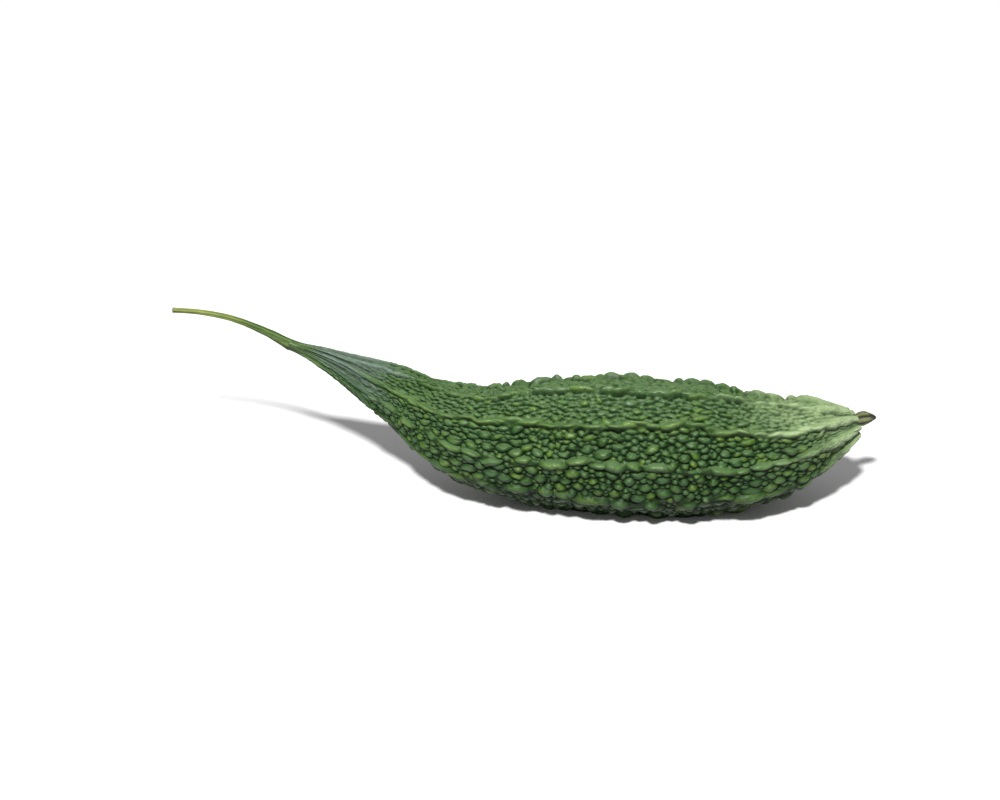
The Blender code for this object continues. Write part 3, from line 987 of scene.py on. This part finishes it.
    def pale(self, grid: Grid, rib: Array) -> Array:
        """Where the blossom end has lost its green, which starts earlier on the ridges.

        Args:
            grid: the corners of the skin.
            rib: the share of a rib.

        Returns:
            Shares by row and column.
        """
        (earlier, latest), (middle, edge) = self.pale_upper, self.pale_side
        streak = waves_round(grid.v, self.pale_streaks)
        streak = streak + np.clip(earlier * (np.cos(grid.v - middle) - edge), -latest, None)
        lead, level = self.pale_lead
        streak = streak + lead * (rib - level)
        share = (grid.s[:, None] - self.skin.line.length + self.pale_reach + streak) / self.pale_reach
        return smooth(share) ** self.pale_power


def make_tubes(names: Sequence[str], rings: Array, marks: dict[Mark, Array]) -> list[bpy.types.Object]:
    """Makes a closed tube of quads in one or more lengths, with a fan at each end.

    Args:
        names: the name of each length.
        rings: points by row and column, in mm.
        marks: values by row and column for the finish.

    Returns:
        The pieces in order. Where two meet, their corners and normals are the same.
    """
    along = np.gradient(rings, axis=0)
    around = np.roll(rings, -1, axis=1) - np.roll(rings, 1, axis=1)
    normals = np.cross(around, along)
    normals /= np.linalg.norm(normals, axis=-1, keepdims=True) + 1e-9
    edges = np.linspace(0, len(rings) - 1, len(names) + 1).astype(int)
    pieces = []
    for name, low, high in zip(names, edges[:-1], edges[1:], strict=True):
        part = slice(low, high + 1)
        rows, columns = rings[part].shape[:2]
        numbers = np.arange(rows * columns).reshape(rows, columns)
        after = np.roll(numbers, -1, axis=1)
        quads = np.stack([numbers[:-1], after[:-1], after[1:], numbers[1:]], axis=-1)
        faces = quads.reshape(-1, 4).tolist()
        corners = rings[part].reshape(-1, 3)
        facing = normals[part].reshape(-1, 3)
        values = {mark: of_mark[part].ravel() for mark, of_mark in marks.items()}
        for row, closed in ((0, low == 0), (-1, high == len(rings) - 1)):
            if not closed:
                continue
            middle = len(corners)
            end, beside = (rings[part][at].mean(axis=0) for at in (row, 1 if row == 0 else -2))
            corners = np.vstack([corners, end])
            facing = np.vstack([facing, unit(end - beside)])
            values = {mark: np.append(flat, marks[mark][part][row].mean()) for mark, flat in values.items()}
            fan = (after[row], numbers[row]) if row == 0 else (numbers[row], after[row])
            faces += [(int(a), int(b), middle) for a, b in zip(*fan, strict=True)]
        pieces.append(make_piece(name, corners, faces, facing, values))
    return pieces


def make_piece(
    name: str,
    corners: Array,
    faces: list[Sequence[int]],
    normals: Array,
    marks: dict[Mark, Array],
) -> bpy.types.Object:
    """Makes one mesh and puts it in the scene.

    Args:
        name: the piece's name.
        corners: its corners in mm.
        faces: the corners of each face.
        normals: the normal at each corner.
        marks: the values at each corner for the finish.

    Returns:
        The piece.
    """
    mesh = bpy.data.meshes.new(name)
    mesh.from_pydata(corners * MM, [], faces)
    mesh.shade_smooth()
    mesh.normals_split_custom_set_from_vertices(normals.tolist())
    for mark, values in marks.items():
        made = mesh.attributes.new(mark.value, "FLOAT", "POINT")
        made.data.foreach_set("value", values.astype(np.float32))
    piece = bpy.data.objects.new(name, mesh)
    bpy.context.scene.collection.objects.link(piece)
    return piece


@dataclass
class Stem:
    """The stem: five low ribs, a rough cut end, and a foot that widens into the neck."""

    stations: tuple[tuple[float, ...], ...] = (
        (-125.4, 36.8, 53.9, 0.85),
        (-113.5, 34.6, 53.7, 0.95),
        (-100.8, 31.4, 51.8, 1.1),
        (-91.7, 28.8, 48.9, 1.35),
        (-82.6, 26.0, 45.1, 1.9),
    )
    rows: int = 150
    sides: int = 48
    ribs: int = 5
    rib_depth: float = 0.09
    rib_edge: float = 0.025
    bumps: tuple[Span, Span] = ((0.035, 2.3), (0.02, 0.9))  # shares of the radius, and lengths
    twist: float = 0.9
    foot: Span = (0.03, 9.0)  # how much it widens, and over what length
    flare: Span = (0.10, 1.2)  # the same at the cut
    run_in: float = 5.0  # how far it runs on inside the neck
    run_in_loss: float = 0.5  # the share of its radius that it loses there
    cut_rings: tuple[Span, ...] = (
        # share of the radius, depth
        (0.35, 0.28),
        (0.62, 0.22),
        (0.86, 0.02),
        (0.97, -0.02),
    )
    cut_roughness: float = 0.12
    cut_groove: float = 0.1  # how light the cut is, from 0 in a groove to 1 on a rib
    seed: int = 3

    def build(self) -> list[bpy.types.Object]:
        """Builds the stem's mesh.

        Returns:
            The stem, in a list.
        """
        line = Line(self.stations)
        rng = np.random.default_rng(self.seed)
        s = np.linspace(0, line.length + self.run_in, self.rows)[:, None]
        v = (np.arange(self.sides) * TURN / self.sides)[None, :]
        share = s / line.length
        past = np.clip(s - line.length, 0, None)
        (widen, reach), (flare, flare_reach) = self.foot, self.flare
        foot = 1 + widen * np.exp(-np.abs(line.length - s) / reach)
        turned = self.ribs * (v + self.twist * share)
        shape = 1 + self.rib_depth * np.cos(turned) + self.rib_edge * np.cos(3 * turned + 1)
        (coarse, long), (fine, short) = self.bumps
        bumps = coarse * np.sin(s / long + 3 * np.sin(v)) + fine * np.sin(s / short + 5 * v)
        radius = line.at(np.clip(s, 0, line.length))[..., 3] * foot * (shape + bumps)
        kept = 1 - self.run_in_loss * past / self.run_in
        radius = radius * (1 + flare * np.exp(-s / flare_reach)) * kept
        grid_s, grid_v = np.broadcast_arrays(s, v)
        body = line.place(grid_s, grid_v, radius)
        rough = rng.uniform(-self.cut_roughness, self.cut_roughness, self.sides)
        start = np.zeros(self.sides)
        cut = [
            line.place(start, grid_v[0], radius[0] * inward, depth + rough * inward)
            for inward, depth in self.cut_rings
        ]
        points = np.concatenate([np.array(cut), body])
        end = (len(cut), self.sides)
        tone = np.zeros(len(points))
        tone[: len(cut) + 1] = 1.0
        marks = {
            Mark.ALONG: np.concatenate([np.zeros(end), np.broadcast_to(share, grid_s.shape)]),
            Mark.RELIEF: np.concatenate([np.full(end, self.cut_groove), 0.5 + 0.5 * np.cos(turned)]),
            Mark.TONE: np.repeat(tone[:, None], self.sides, axis=1),
        }
        return make_tubes(["stem_stalk"], points, marks)


@dataclass
class WitheredFlower:
    """The withered flower: a folded, twisted, wrinkled scrap that curls out of the scar."""

    skin: SkinMap
    length: float = 12.0
    root: float = -1.1  # how far from the end of the fruit's line it starts
    rows: int = 90
    sides: int = 72
    folds: int = 5
    fold_depth: float = 0.26
    fold_start: float = 0.4  # the share of the length until the folds have their depth
    fold_wander: Span = (1.2, 1.5)  # in radians: round the flower, and along it
    fold_power: float = 0.8
    crease_depth: float = 0.055
    crease_waves: tuple[Span, Span] = ((17, 9), (4, 22))  # of two sets: round the flower, and along it
    crease_relief: float = 0.25
    ragged: float = 0.25
    twist: float = 0.8
    profile: tuple[Triple, ...] = (
        # share of the length, radius, sag
        (0.00, 1.30, 0.0),
        (0.12, 1.35, -0.5),
        (0.30, 1.75, -0.7),
        (0.52, 2.20, -0.6),
        (0.72, 2.00, -0.3),
        (0.88, 1.25, 0.2),
        (1.00, 0.50, 0.9),
    )

    def build(self) -> list[bpy.types.Object]:
        """Builds the flower's mesh.

        Returns:
            The flower, in a list.
        """
        line = self.skin.line
        share = np.linspace(0, 1, self.rows)[:, None]
        v = (np.arange(self.sides) * TURN / self.sides)[None, :]
        shares, radii, sags = np.array(self.profile).T
        ease = smooth(share / self.fold_start)
        by_angle, by_length = self.fold_wander
        folds = np.cos(self.folds * v + by_angle * np.sin(2 * v) + by_length * share)
        sharp = np.sign(folds) * np.abs(folds) ** self.fold_power
        first, second = (np.cos(turns * v + waves * share) for turns, waves in self.crease_waves)
        creases = first * second
        shape = 1 + self.fold_depth * ease * sharp + self.crease_depth * ease * creases
        radius = np.interp(share, shares, radii) * shape
        s = line.length + self.root + share * self.length + self.ragged * np.cos(3 * v) * share
        grid_s, grid_v = np.broadcast_arrays(s, v + self.twist * share)
        points = line.place(grid_s, grid_v, radius)
        points[..., 2] -= np.interp(share, shares, sags)
        relief = 0.5 + 0.5 * sharp + self.crease_relief * creases
        along = np.broadcast_to(share, grid_s.shape)
        return make_tubes(["dry_flower"], points, {Mark.RELIEF: relief, Mark.ALONG: along})


@dataclass(frozen=True)
class Band:
    """Where a share starts, and how fast it grows past that. It grows the other way if negative."""

    start: float
    slope: float


@dataclass(frozen=True)
class Gain:
    """What something is where another value is 0, and what it gains where that is 1."""

    least: float
    more: float


@dataclass(frozen=True)
class Sock:
    """A shader socket that values can be worked out with, as with numbers."""

    graph: "Graph"
    socket: bpy.types.NodeSocket

    def math(self, operation: str, *others: Value) -> "Sock":
        """Adds a Math node that takes this value first."""
        return self.graph.maths(operation, self, *others)

    def __add__(self, other: Value) -> "Sock":
        """Adds."""
        return self.math("ADD", other)

    __radd__ = __add__

    def __sub__(self, other: Value) -> "Sock":
        """Subtracts."""
        return self.math("SUBTRACT", other)

    def __rsub__(self, other: Value) -> "Sock":
        """Subtracts this from the other."""
        return self.graph.maths("SUBTRACT", other, self)

    def __mul__(self, other: Value) -> "Sock":
        """Multiplies."""
        return self.math("MULTIPLY", other)

    __rmul__ = __mul__

    def held(self) -> "Sock":
        """Holds the value between 0 and 1."""
        return self.math("MAXIMUM", 0.0).math("MINIMUM", 1.0)

    def past(self, band: Band) -> "Sock":
        """Grows from 0 where the value passes a band's start."""
        return (self - band.start) * band.slope

    def giving(self, gain: Gain) -> "Sock":
        """Gives what grows with the value."""
        return gain.least + gain.more * self


class Graph:
    """The nodes of one material."""

    def __init__(self, name: str) -> None:
        """Makes an empty material.

        Args:
            name: the material's name.
        """
        self.material = bpy.data.materials.new(name)
        self.material.use_nodes = True
        self.tree = self.material.node_tree
        self.shader = self.tree.nodes["Principled BSDF"]

    def node(
        self,
        kind: str,
        settings: dict[str, object] | None = None,
        sockets: dict[int | str, object] | None = None,
    ) -> bpy.types.Node:
        """Adds any node.

        Args:
            kind: the node's type.
            settings: its settings, with a ramp's stops under "stops".
            sockets: values or links by the name or number of an input.

        Returns:
            The node.
        """
        made = self.tree.nodes.new(kind)
        for name, value in (settings or {}).items():
            if name == "stops":
                self.set_stops(made.color_ramp, value)
            else:
                setattr(made, name, value)
        for key, value in (sockets or {}).items():
            self.feed(made.inputs[key], value)
        return made

    def set_stops(self, ramp: bpy.types.ColorRamp, stops: Sequence[tuple[float, Colour]]) -> None:
        """Sets a colour ramp.

        Args:
            ramp: the ramp.
            stops: place and colour of each stop.
        """
        while len(ramp.elements) < len(stops):
            ramp.elements.new(1.0)
        for element, (place, colour) in zip(ramp.elements, stops, strict=True):
            element.position = place
            element.color = (*colour, 1.0)

    def feed(self, socket: bpy.types.NodeSocket, value: object) -> None:
        """Links a socket, or sets its value.

        Args:
            socket: the input.
            value: a Sock, a number, or a colour.
        """
        if isinstance(value, Sock):
            self.tree.links.new(value.socket, socket)
        elif isinstance(value, tuple) and len(value) == 3 and socket.type == "RGBA":
            socket.default_value = (*value, 1.0)
        else:
            socket.default_value = value

    def maths(self, operation: str, *values: Value) -> Sock:
        """Adds a Math node."""
        made = self.node("ShaderNodeMath", {"operation": operation}, dict(enumerate(values)))
        return Sock(self, made.outputs[0])

    def mark(self, mark: Mark) -> Sock:
        """Reads what a mesh remembers."""
        made = self.node("ShaderNodeAttribute", {"attribute_name": mark.value})
        return Sock(self, made.outputs["Fac"])

    def mix(self, share: Value, first: Sock | Colour, second: Sock | Colour, how: str = "MIX") -> Sock:
        """Mixes two colours.

        Args:
            share: how much of the second.
            first: a colour.
            second: a colour.
            how: the blend.

        Returns:
            The mixed colour.
        """
        settings = {"data_type": "RGBA", "blend_type": how}
        made = self.node("ShaderNodeMix", settings, {0: share, 6: first, 7: second})
        return Sock(self, made.outputs[2])

    def painted(self, base: Sock | Colour, *coats: tuple[Sock, Sock | Colour]) -> Sock:
        """Lays coats over a colour in order.

        Args:
            base: the colour.
            coats: how much of each coat, which its Mix node holds between 0 and 1, and its colour.

        Returns:
            The colour with its coats.
        """
        for share, colour in coats:
            base = self.mix(share, base, colour)
        return base

    def place(self, stretch: Triple = (1.0, 1.0, 1.0)) -> Sock:
        """Gives the place on the object in metres, stretched.

        Args:
            stretch: what each axis is multiplied by.

        Returns:
            The place.
        """
        where = Sock(self, self.node("ShaderNodeTexCoord").outputs["Object"])
        made = self.node("ShaderNodeVectorMath", {"operation": "MULTIPLY"}, {0: where, 1: stretch})
        return Sock(self, made.outputs[0])

    def rise(self) -> Sock:
        """Gives how far the surface faces up: 1 is up, 0 upright, -1 down."""
        return self.upright(Sock(self, self.node("ShaderNodeNewGeometry").outputs["Normal"]))

    def height(self) -> Sock:
        """Gives the height over the floor, in metres."""
        return self.upright(self.place())

    def upright(self, vector: Sock) -> Sock:
        """Takes a vector's upright part."""
        return Sock(self, self.node("ShaderNodeSeparateXYZ", sockets={0: vector}).outputs["Z"])

    def noise(self, size: float, detail: float, place: Sock, roughness: float = 0.55) -> Sock:
        """Adds a cloudy noise.

        Args:
            size: the size of its clouds, in mm.
            detail: how many finer layers.
            place: where it is read.
            roughness: how strong the finer layers are.

        Returns:
            Values about 0.5.
        """
        sockets = {"Vector": place, "Scale": 1 / (size * MM), "Detail": detail, "Roughness": roughness}
        made = self.node("ShaderNodeTexNoise", sockets=sockets)
        return Sock(self, made.outputs["Fac"])

    def ramp(self, value: Sock, stops: Sequence[tuple[float, Colour]]) -> Sock:
        """Adds a colour ramp."""
        made = self.node("ShaderNodeValToRGB", {"stops": stops}, {"Fac": value})
        return Sock(self, made.outputs["Color"])

    def bump(self, height: Sock, depth: float, strength: float, under: Sock | None = None) -> Sock:
        """Adds a bump.

        Args:
            height: the height, from 0 to 1.
            depth: what 1 means, in mm.
            strength: its strength.
            under: a bump that it lies on.

        Returns:
            The normal.
        """
        sockets = {"Height": height, "Distance": depth * MM, "Strength": strength}
        if under is not None:
            sockets["Normal"] = under
        made = self.node("ShaderNodeBump", sockets=sockets)
        return Sock(self, made.outputs["Normal"])

    def finish(self, sockets: dict[str, object]) -> bpy.types.Material:
        """Feeds the shader.

        Args:
            sockets: values or links by the name of an input.

        Returns:
            The material.
        """
        for name, value in sockets.items():
            self.feed(self.shader.inputs[name], value)
        return self.material


@dataclass(frozen=True)
class SkinFinish:
    """The fruit's skin: deep green darkened by painted shade between waxy warts, yellow-green ridges, blue
    neck, pale tip, with painted sheen above and painted shade below.
    """

    # painted shade: the crevices and flanks are the deep green darkened as if in shade
    crevice_green_and_shade: Colour = (0.006, 0.020, 0.003)
    flank: Colour = (0.014, 0.048, 0.006)
    top: Colour = (0.050, 0.122, 0.022)
    ridge: Colour = (0.134, 0.230, 0.030)
    yellow: Colour = (0.124, 0.212, 0.012)
    dusky: Colour = (0.038, 0.094, 0.034)
    blue: Colour = (0.155, 0.215, 0.162)
    blue_deep: Colour = (0.022, 0.040, 0.024)
    pale: Colour = (0.330, 0.430, 0.220)
    pale_deep: Colour = (0.130, 0.205, 0.084)
    # painted sheen: a whitish grey-green on the tops, in cloudy patches
    painted_top_sheen: Colour = (0.150, 0.225, 0.140)
    # painted sheen: lighter and greyer where the skin faces up and where it is high
    painted_sky_sheen: Colour = (0.096, 0.168, 0.066)
    # painted shade: multiplied in where the skin faces down and near the floor
    under: Colour = (0.29, 0.31, 0.35)
    stalk: Colour = (0.080, 0.145, 0.038)
    stalk_deep: Colour = (0.024, 0.046, 0.012)
    cloud_size: float = 14.0  # in mm, as the next three
    streak_size: float = 5.5
    speck_size: float = 0.8
    pore_size: float = 0.35
    streak_stretch: Triple = (0.30, 1.0, 1.0)
    streak_strength: float = 1.6
    speckle: float = 0.25  # how much the specks break up the tops
    crest_by_cloud: Gain = Gain(0.30, 0.9)
    blue_by_speck: Gain = Gain(0.75, 0.4)
    roughness_by_speck: Gain = Gain(0.5, 0.3)
    specular: float = 0.10
    coat: float = 0.55
    coat_roughness: float = 0.40
    speck_depth: float = 0.22  # in mm, as the next
    pore_depth: float = 0.06
    yellow_by_tone: Band = Band(0.64, 2.1)
    dusky_by_tone: Band = Band(0.42, -1.9)
    top_sheen_by_cloud: Band = Band(0.45, 2.0)
    painted_sheen_by_rise: Band = Band(0.62, 2.1)
    painted_shade_by_rise: Band = Band(0.62, -0.95)
    upper_by_height: Band = Band(0.034, 60.0)  # above this the skin gets more painted sheen and more gloss, in metres
    low_by_height: Band = Band(0.017, -60.0)  # below this the floor keeps light off
    stalk_by_length: Band = Band(0.052, -24.0)

    def build(self) -> bpy.types.Material:
        """Builds the material.

        Returns:
            The material.
        """
        g = Graph("waxy_warty_skin")
        place, rise, height = g.place(), g.rise(), g.height()
        tone, bloom, pale = g.mark(Mark.TONE), g.mark(Mark.BLOOM), g.mark(Mark.PALE)
        cloud = g.noise(self.cloud_size, 3, place)
        speck = g.noise(self.speck_size, 3, place, 0.65)
        streaks = self.streak_strength * g.noise(self.streak_size, 3, g.place(self.streak_stretch))
        top = (g.mark(Mark.RELIEF) + self.speckle * (speck - 0.5)).held()
        lit = top * top
        crest = (g.mark(Mark.CREST) * lit * cloud.giving(self.crest_by_cloud)).held()
        upper = height.past(self.upper_by_height).held()
        # the ramp darkens from the tops down into the crevices: painted shade on a deep green
        stops = ((0.0, self.crevice_green_and_shade), (0.25, self.crevice_green_and_shade), (0.62, self.flank), (1.0, self.top))
        colour = g.painted(
            g.ramp(top, stops),
            (tone.past(self.yellow_by_tone).held() * lit, self.yellow),
            (tone.past(self.dusky_by_tone).held() * lit, self.dusky),
            (crest, self.ridge),
            # painted sheen on the tops, in cloudy patches
            (cloud.past(self.top_sheen_by_cloud).held() * lit * 0.35, self.painted_top_sheen),
            # painted sheen where the skin faces up and on its upper part
            (rise.past(self.painted_sheen_by_rise).held() * (0.2 + streaks) + 0.13 * upper, self.painted_sky_sheen),
            (bloom * speck.giving(self.blue_by_speck), g.mix(top, self.blue_deep, self.blue)),
            (pale * (0.15 + streaks + 1.8 * crest), g.mix(top, self.pale_deep, self.pale)),
            (g.mark(Mark.ALONG).past(self.stalk_by_length), g.mix(top, self.stalk_deep, self.stalk)),
        )
        # painted shade where the skin faces down and where it is near the floor
        shade = rise.past(self.painted_shade_by_rise) + 0.6 * height.past(self.low_by_height).held()
        colour = g.mix(shade, colour, self.under, "MULTIPLY")
        pores = g.bump(g.noise(self.pore_size, 4, place), self.pore_depth, 0.5)
        gloss = lit * (0.6 + 0.6 * cloud + 0.5 * upper) * (1 - 0.5 * bloom)
        return g.finish(
            {
                "Base Color": colour,
                "Roughness": speck.giving(self.roughness_by_speck),
                "Specular IOR Level": self.specular,
                "Coat Weight": (self.coat * gloss).held(),
                "Coat Roughness": self.coat_roughness,
                "Normal": g.bump(speck, self.speck_depth, 0.75, pores),
            }
        )


@dataclass(frozen=True)
class StemFinish:
    """The stem: yellow-green, greener in its grooves and towards the neck, brown at the cut, with painted
    shade where it faces down.
    """

    light: Colour = (0.310, 0.350, 0.095)
    deep: Colour = (0.070, 0.105, 0.024)
    neck: Colour = (0.085, 0.150, 0.028)
    neck_deep: Colour = (0.026, 0.048, 0.010)
    cut: Colour = (0.130, 0.115, 0.085)
    # painted shade: multiplied in where the stem faces down
    under: Colour = (0.36, 0.40, 0.40)
    streak_size: float = 1.4  # in mm
    streak_stretch: Triple = (0.18, 1.0, 1.0)
    streak_depth: float = 0.25  # in mm
    roughness_by_streak: Gain = Gain(0.40, 0.2)
    specular: float = 0.16
    neck_by_length: Band = Band(0.26, 2.2)
    cut_by_length: Band = Band(0.04, -9.0)
    painted_shade_by_rise: Band = Band(0.55, -1.0)

    def build(self) -> bpy.types.Material:
        """Builds the material.

        Returns:
            The material.
        """
        g = Graph("green_stem")
        along = g.mark(Mark.ALONG)
        streak = g.noise(self.streak_size, 4, g.place(self.streak_stretch))
        rib = (0.45 * g.mark(Mark.RELIEF) + 1.1 * streak - 0.2).held()
        browned = (g.mark(Mark.TONE) + along.past(self.cut_by_length)).held() * 0.9
        colour = g.painted(
            g.mix(rib, self.deep, self.light),
            (along.past(self.neck_by_length), g.mix(rib, self.neck_deep, self.neck)),
            (browned, self.cut),
        )
        return g.finish(
            {
                # painted shade where the stem faces down
                "Base Color": g.mix(g.rise().past(self.painted_shade_by_rise), colour, self.under, "MULTIPLY"),
                "Roughness": streak.giving(self.roughness_by_streak),
                "Specular IOR Level": self.specular,
                "Normal": g.bump(streak, self.streak_depth, 0.6),
            }
        )


@dataclass(frozen=True)
class FlowerFinish:
    """The withered flower: olive folds with painted shade in their near black creases, a near black tip,
    greyer in patches and with painted sheen where it faces up, matt and papery.
    """

    olive: Colour = (0.150, 0.190, 0.050)
    brown: Colour = (0.095, 0.095, 0.042)
    # near black: the tip's own colour, and painted shade in the creases
    dark_tip_and_crease_shade: Colour = (0.022, 0.026, 0.014)
    grey: Colour = (0.170, 0.150, 0.130)
    cloud_size: float = 2.6  # in mm, as the next two
    grain_size: float = 0.45
    grain_depth: float = 0.3
    roughness_by_grain: Gain = Gain(0.62, 0.3)
    grey_by_cloud: Band = Band(0.50, 4.0)
    grey_sheen_by_rise: Band = Band(0.45, 1.1)
    brown_by_grain: Band = Band(0.45, 3.0)
    tip_by_length: Band = Band(0.66, 5.0)

    def build(self) -> bpy.types.Material:
        """Builds the material.

        Returns:
            The material.
        """
        g = Graph("withered_petal")
        place = g.place()
        cloud = g.noise(self.cloud_size, 3, place)
        grain = g.noise(self.grain_size, 4, place, 0.7)
        colour = g.painted(
            self.olive,
            # greyer in patches, and with painted sheen where it faces up
            (cloud.past(self.grey_by_cloud) + g.rise().past(self.grey_sheen_by_rise), self.grey),
            (grain.past(self.brown_by_grain), self.brown),
            # painted shade in the folds' creases
            (1.15 - 1.5 * g.mark(Mark.RELIEF) + 0.4 * (grain - 0.5), self.dark_tip_and_crease_shade),
            (g.mark(Mark.ALONG).past(self.tip_by_length), self.dark_tip_and_crease_shade),
        )
        return g.finish(
            {
                "Base Color": colour,
                "Roughness": grain.giving(self.roughness_by_grain),
                "Normal": g.bump(grain, self.grain_depth, 0.8),
            }
        )


@dataclass(frozen=True)
class FloorFinish:
    """A plain white floor, faintly mottled like matt paper."""

    light: Colour = (0.93, 0.93, 0.93)
    shade: Colour = (0.90, 0.90, 0.90)

    def build(self) -> bpy.types.Material:
        """Builds the material.

        Returns:
            The material.
        """
        g = Graph("white_floor")
        cloud = g.noise(60, 2, g.place())
        return g.finish({"Base Color": g.mix(cloud, self.light, self.shade), "Roughness": 0.85})


Finish: TypeAlias = SkinFinish | StemFinish | FlowerFinish


@dataclass
class Studio:
    """The white floor, the soft overhead light and the camera."""

    floor_half: float = 6.0
    elevation: float = 25.0  # in degrees
    back: float = 0.840  # from the aim to the camera, in metres
    aim: Span = (-0.0073, 0.0319)  # across and up in the picture's plane
    lens: float = 84.8  # in mm, as the sensor
    sensor: float = 36.0
    sky: float = 0.30
    lamp_power: float = 235.0
    lamp_size: float = 0.42
    lamp_back: float = 4.0
    lamp_way: Triple = (-0.13, -0.60, 0.79)  # from the gourd towards the lamp

    def build(self) -> None:
        """Builds the studio."""
        self.lay_floor()
        self.light()
        self.set_camera()
        bpy.context.scene.view_settings.view_transform = "Standard"

    def lay_floor(self) -> None:
        """Lays the floor."""
        half = self.floor_half
        mesh = bpy.data.meshes.new("floor")
        corners = [(-half, -half, 0.0), (half, -half, 0.0), (half, half, 0.0), (-half, half, 0.0)]
        mesh.from_pydata(corners, [], [(0, 1, 2, 3)])
        mesh.materials.append(FloorFinish().build())
        floor = bpy.data.objects.new("floor", mesh)
        bpy.context.scene.collection.objects.link(floor)

    def light(self) -> None:
        """Hangs a soft lamp above the camera, a little to the left, in an even white room."""
        world = bpy.data.worlds.new("white_room")
        world.use_nodes = True
        world.node_tree.nodes["Background"].inputs["Color"].default_value = (1, 1, 1, 1)
        world.node_tree.nodes["Background"].inputs["Strength"].default_value = self.sky
        bpy.context.scene.world = world
        data = bpy.data.lights.new("soft_lamp", "AREA")
        data.shape = "DISK"
        data.size = self.lamp_size
        data.energy = self.lamp_power
        lamp = bpy.data.objects.new("soft_lamp", data)
        way = unit(np.array(self.lamp_way))
        lamp.location = self.lamp_back * way
        lamp.rotation_euler = (math.acos(way[2]), 0.0, math.atan2(way[0], -way[1]))
        bpy.context.scene.collection.objects.link(lamp)

    def set_camera(self) -> None:
        """Sets the camera at the photograph's angle."""
        tilt = math.radians(self.elevation)
        across, up = self.aim
        data = bpy.data.cameras.new("camera")
        data.lens = self.lens
        data.sensor_width = self.sensor
        camera = bpy.data.objects.new("camera", data)
        camera.location = (
            across,
            up * math.sin(tilt) - self.back * math.cos(tilt),
            up * math.cos(tilt) + self.back * math.sin(tilt),
        )
        camera.rotation_euler = (math.pi / 2 - tilt, 0.0, 0.0)
        bpy.context.scene.collection.objects.link(camera)
        bpy.context.scene.camera = camera


def dress(pieces: list[bpy.types.Object], finish: Finish, node: str) -> None:
    """Gives pieces their finish, and lets them stand for their solid.

    Args:
        pieces: the pieces.
        finish: their finish.
        node: the solid that they stand for, which is hidden.
    """
    material = finish.build()
    for piece in pieces:
        piece.data.materials.append(material)
        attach(piece, "root")
        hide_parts(node)
        log.info("%s: %d faces, stands for %s", piece.name, len(piece.data.polygons), node)


def main() -> None:
    """Builds the pieces and the studio in order."""
    logging.basicConfig(level=logging.INFO, format="%(name)s: %(message)s")
    fruit = FruitSkin()
    dress(fruit.build(), SkinFinish(), "fruit")
    dress(Stem().build(), StemFinish(), "stem")
    dress(WitheredFlower(fruit.skin).build(), FlowerFinish(), "withered_flower")
    Studio().build()


if __name__ == "__main__":
    main()
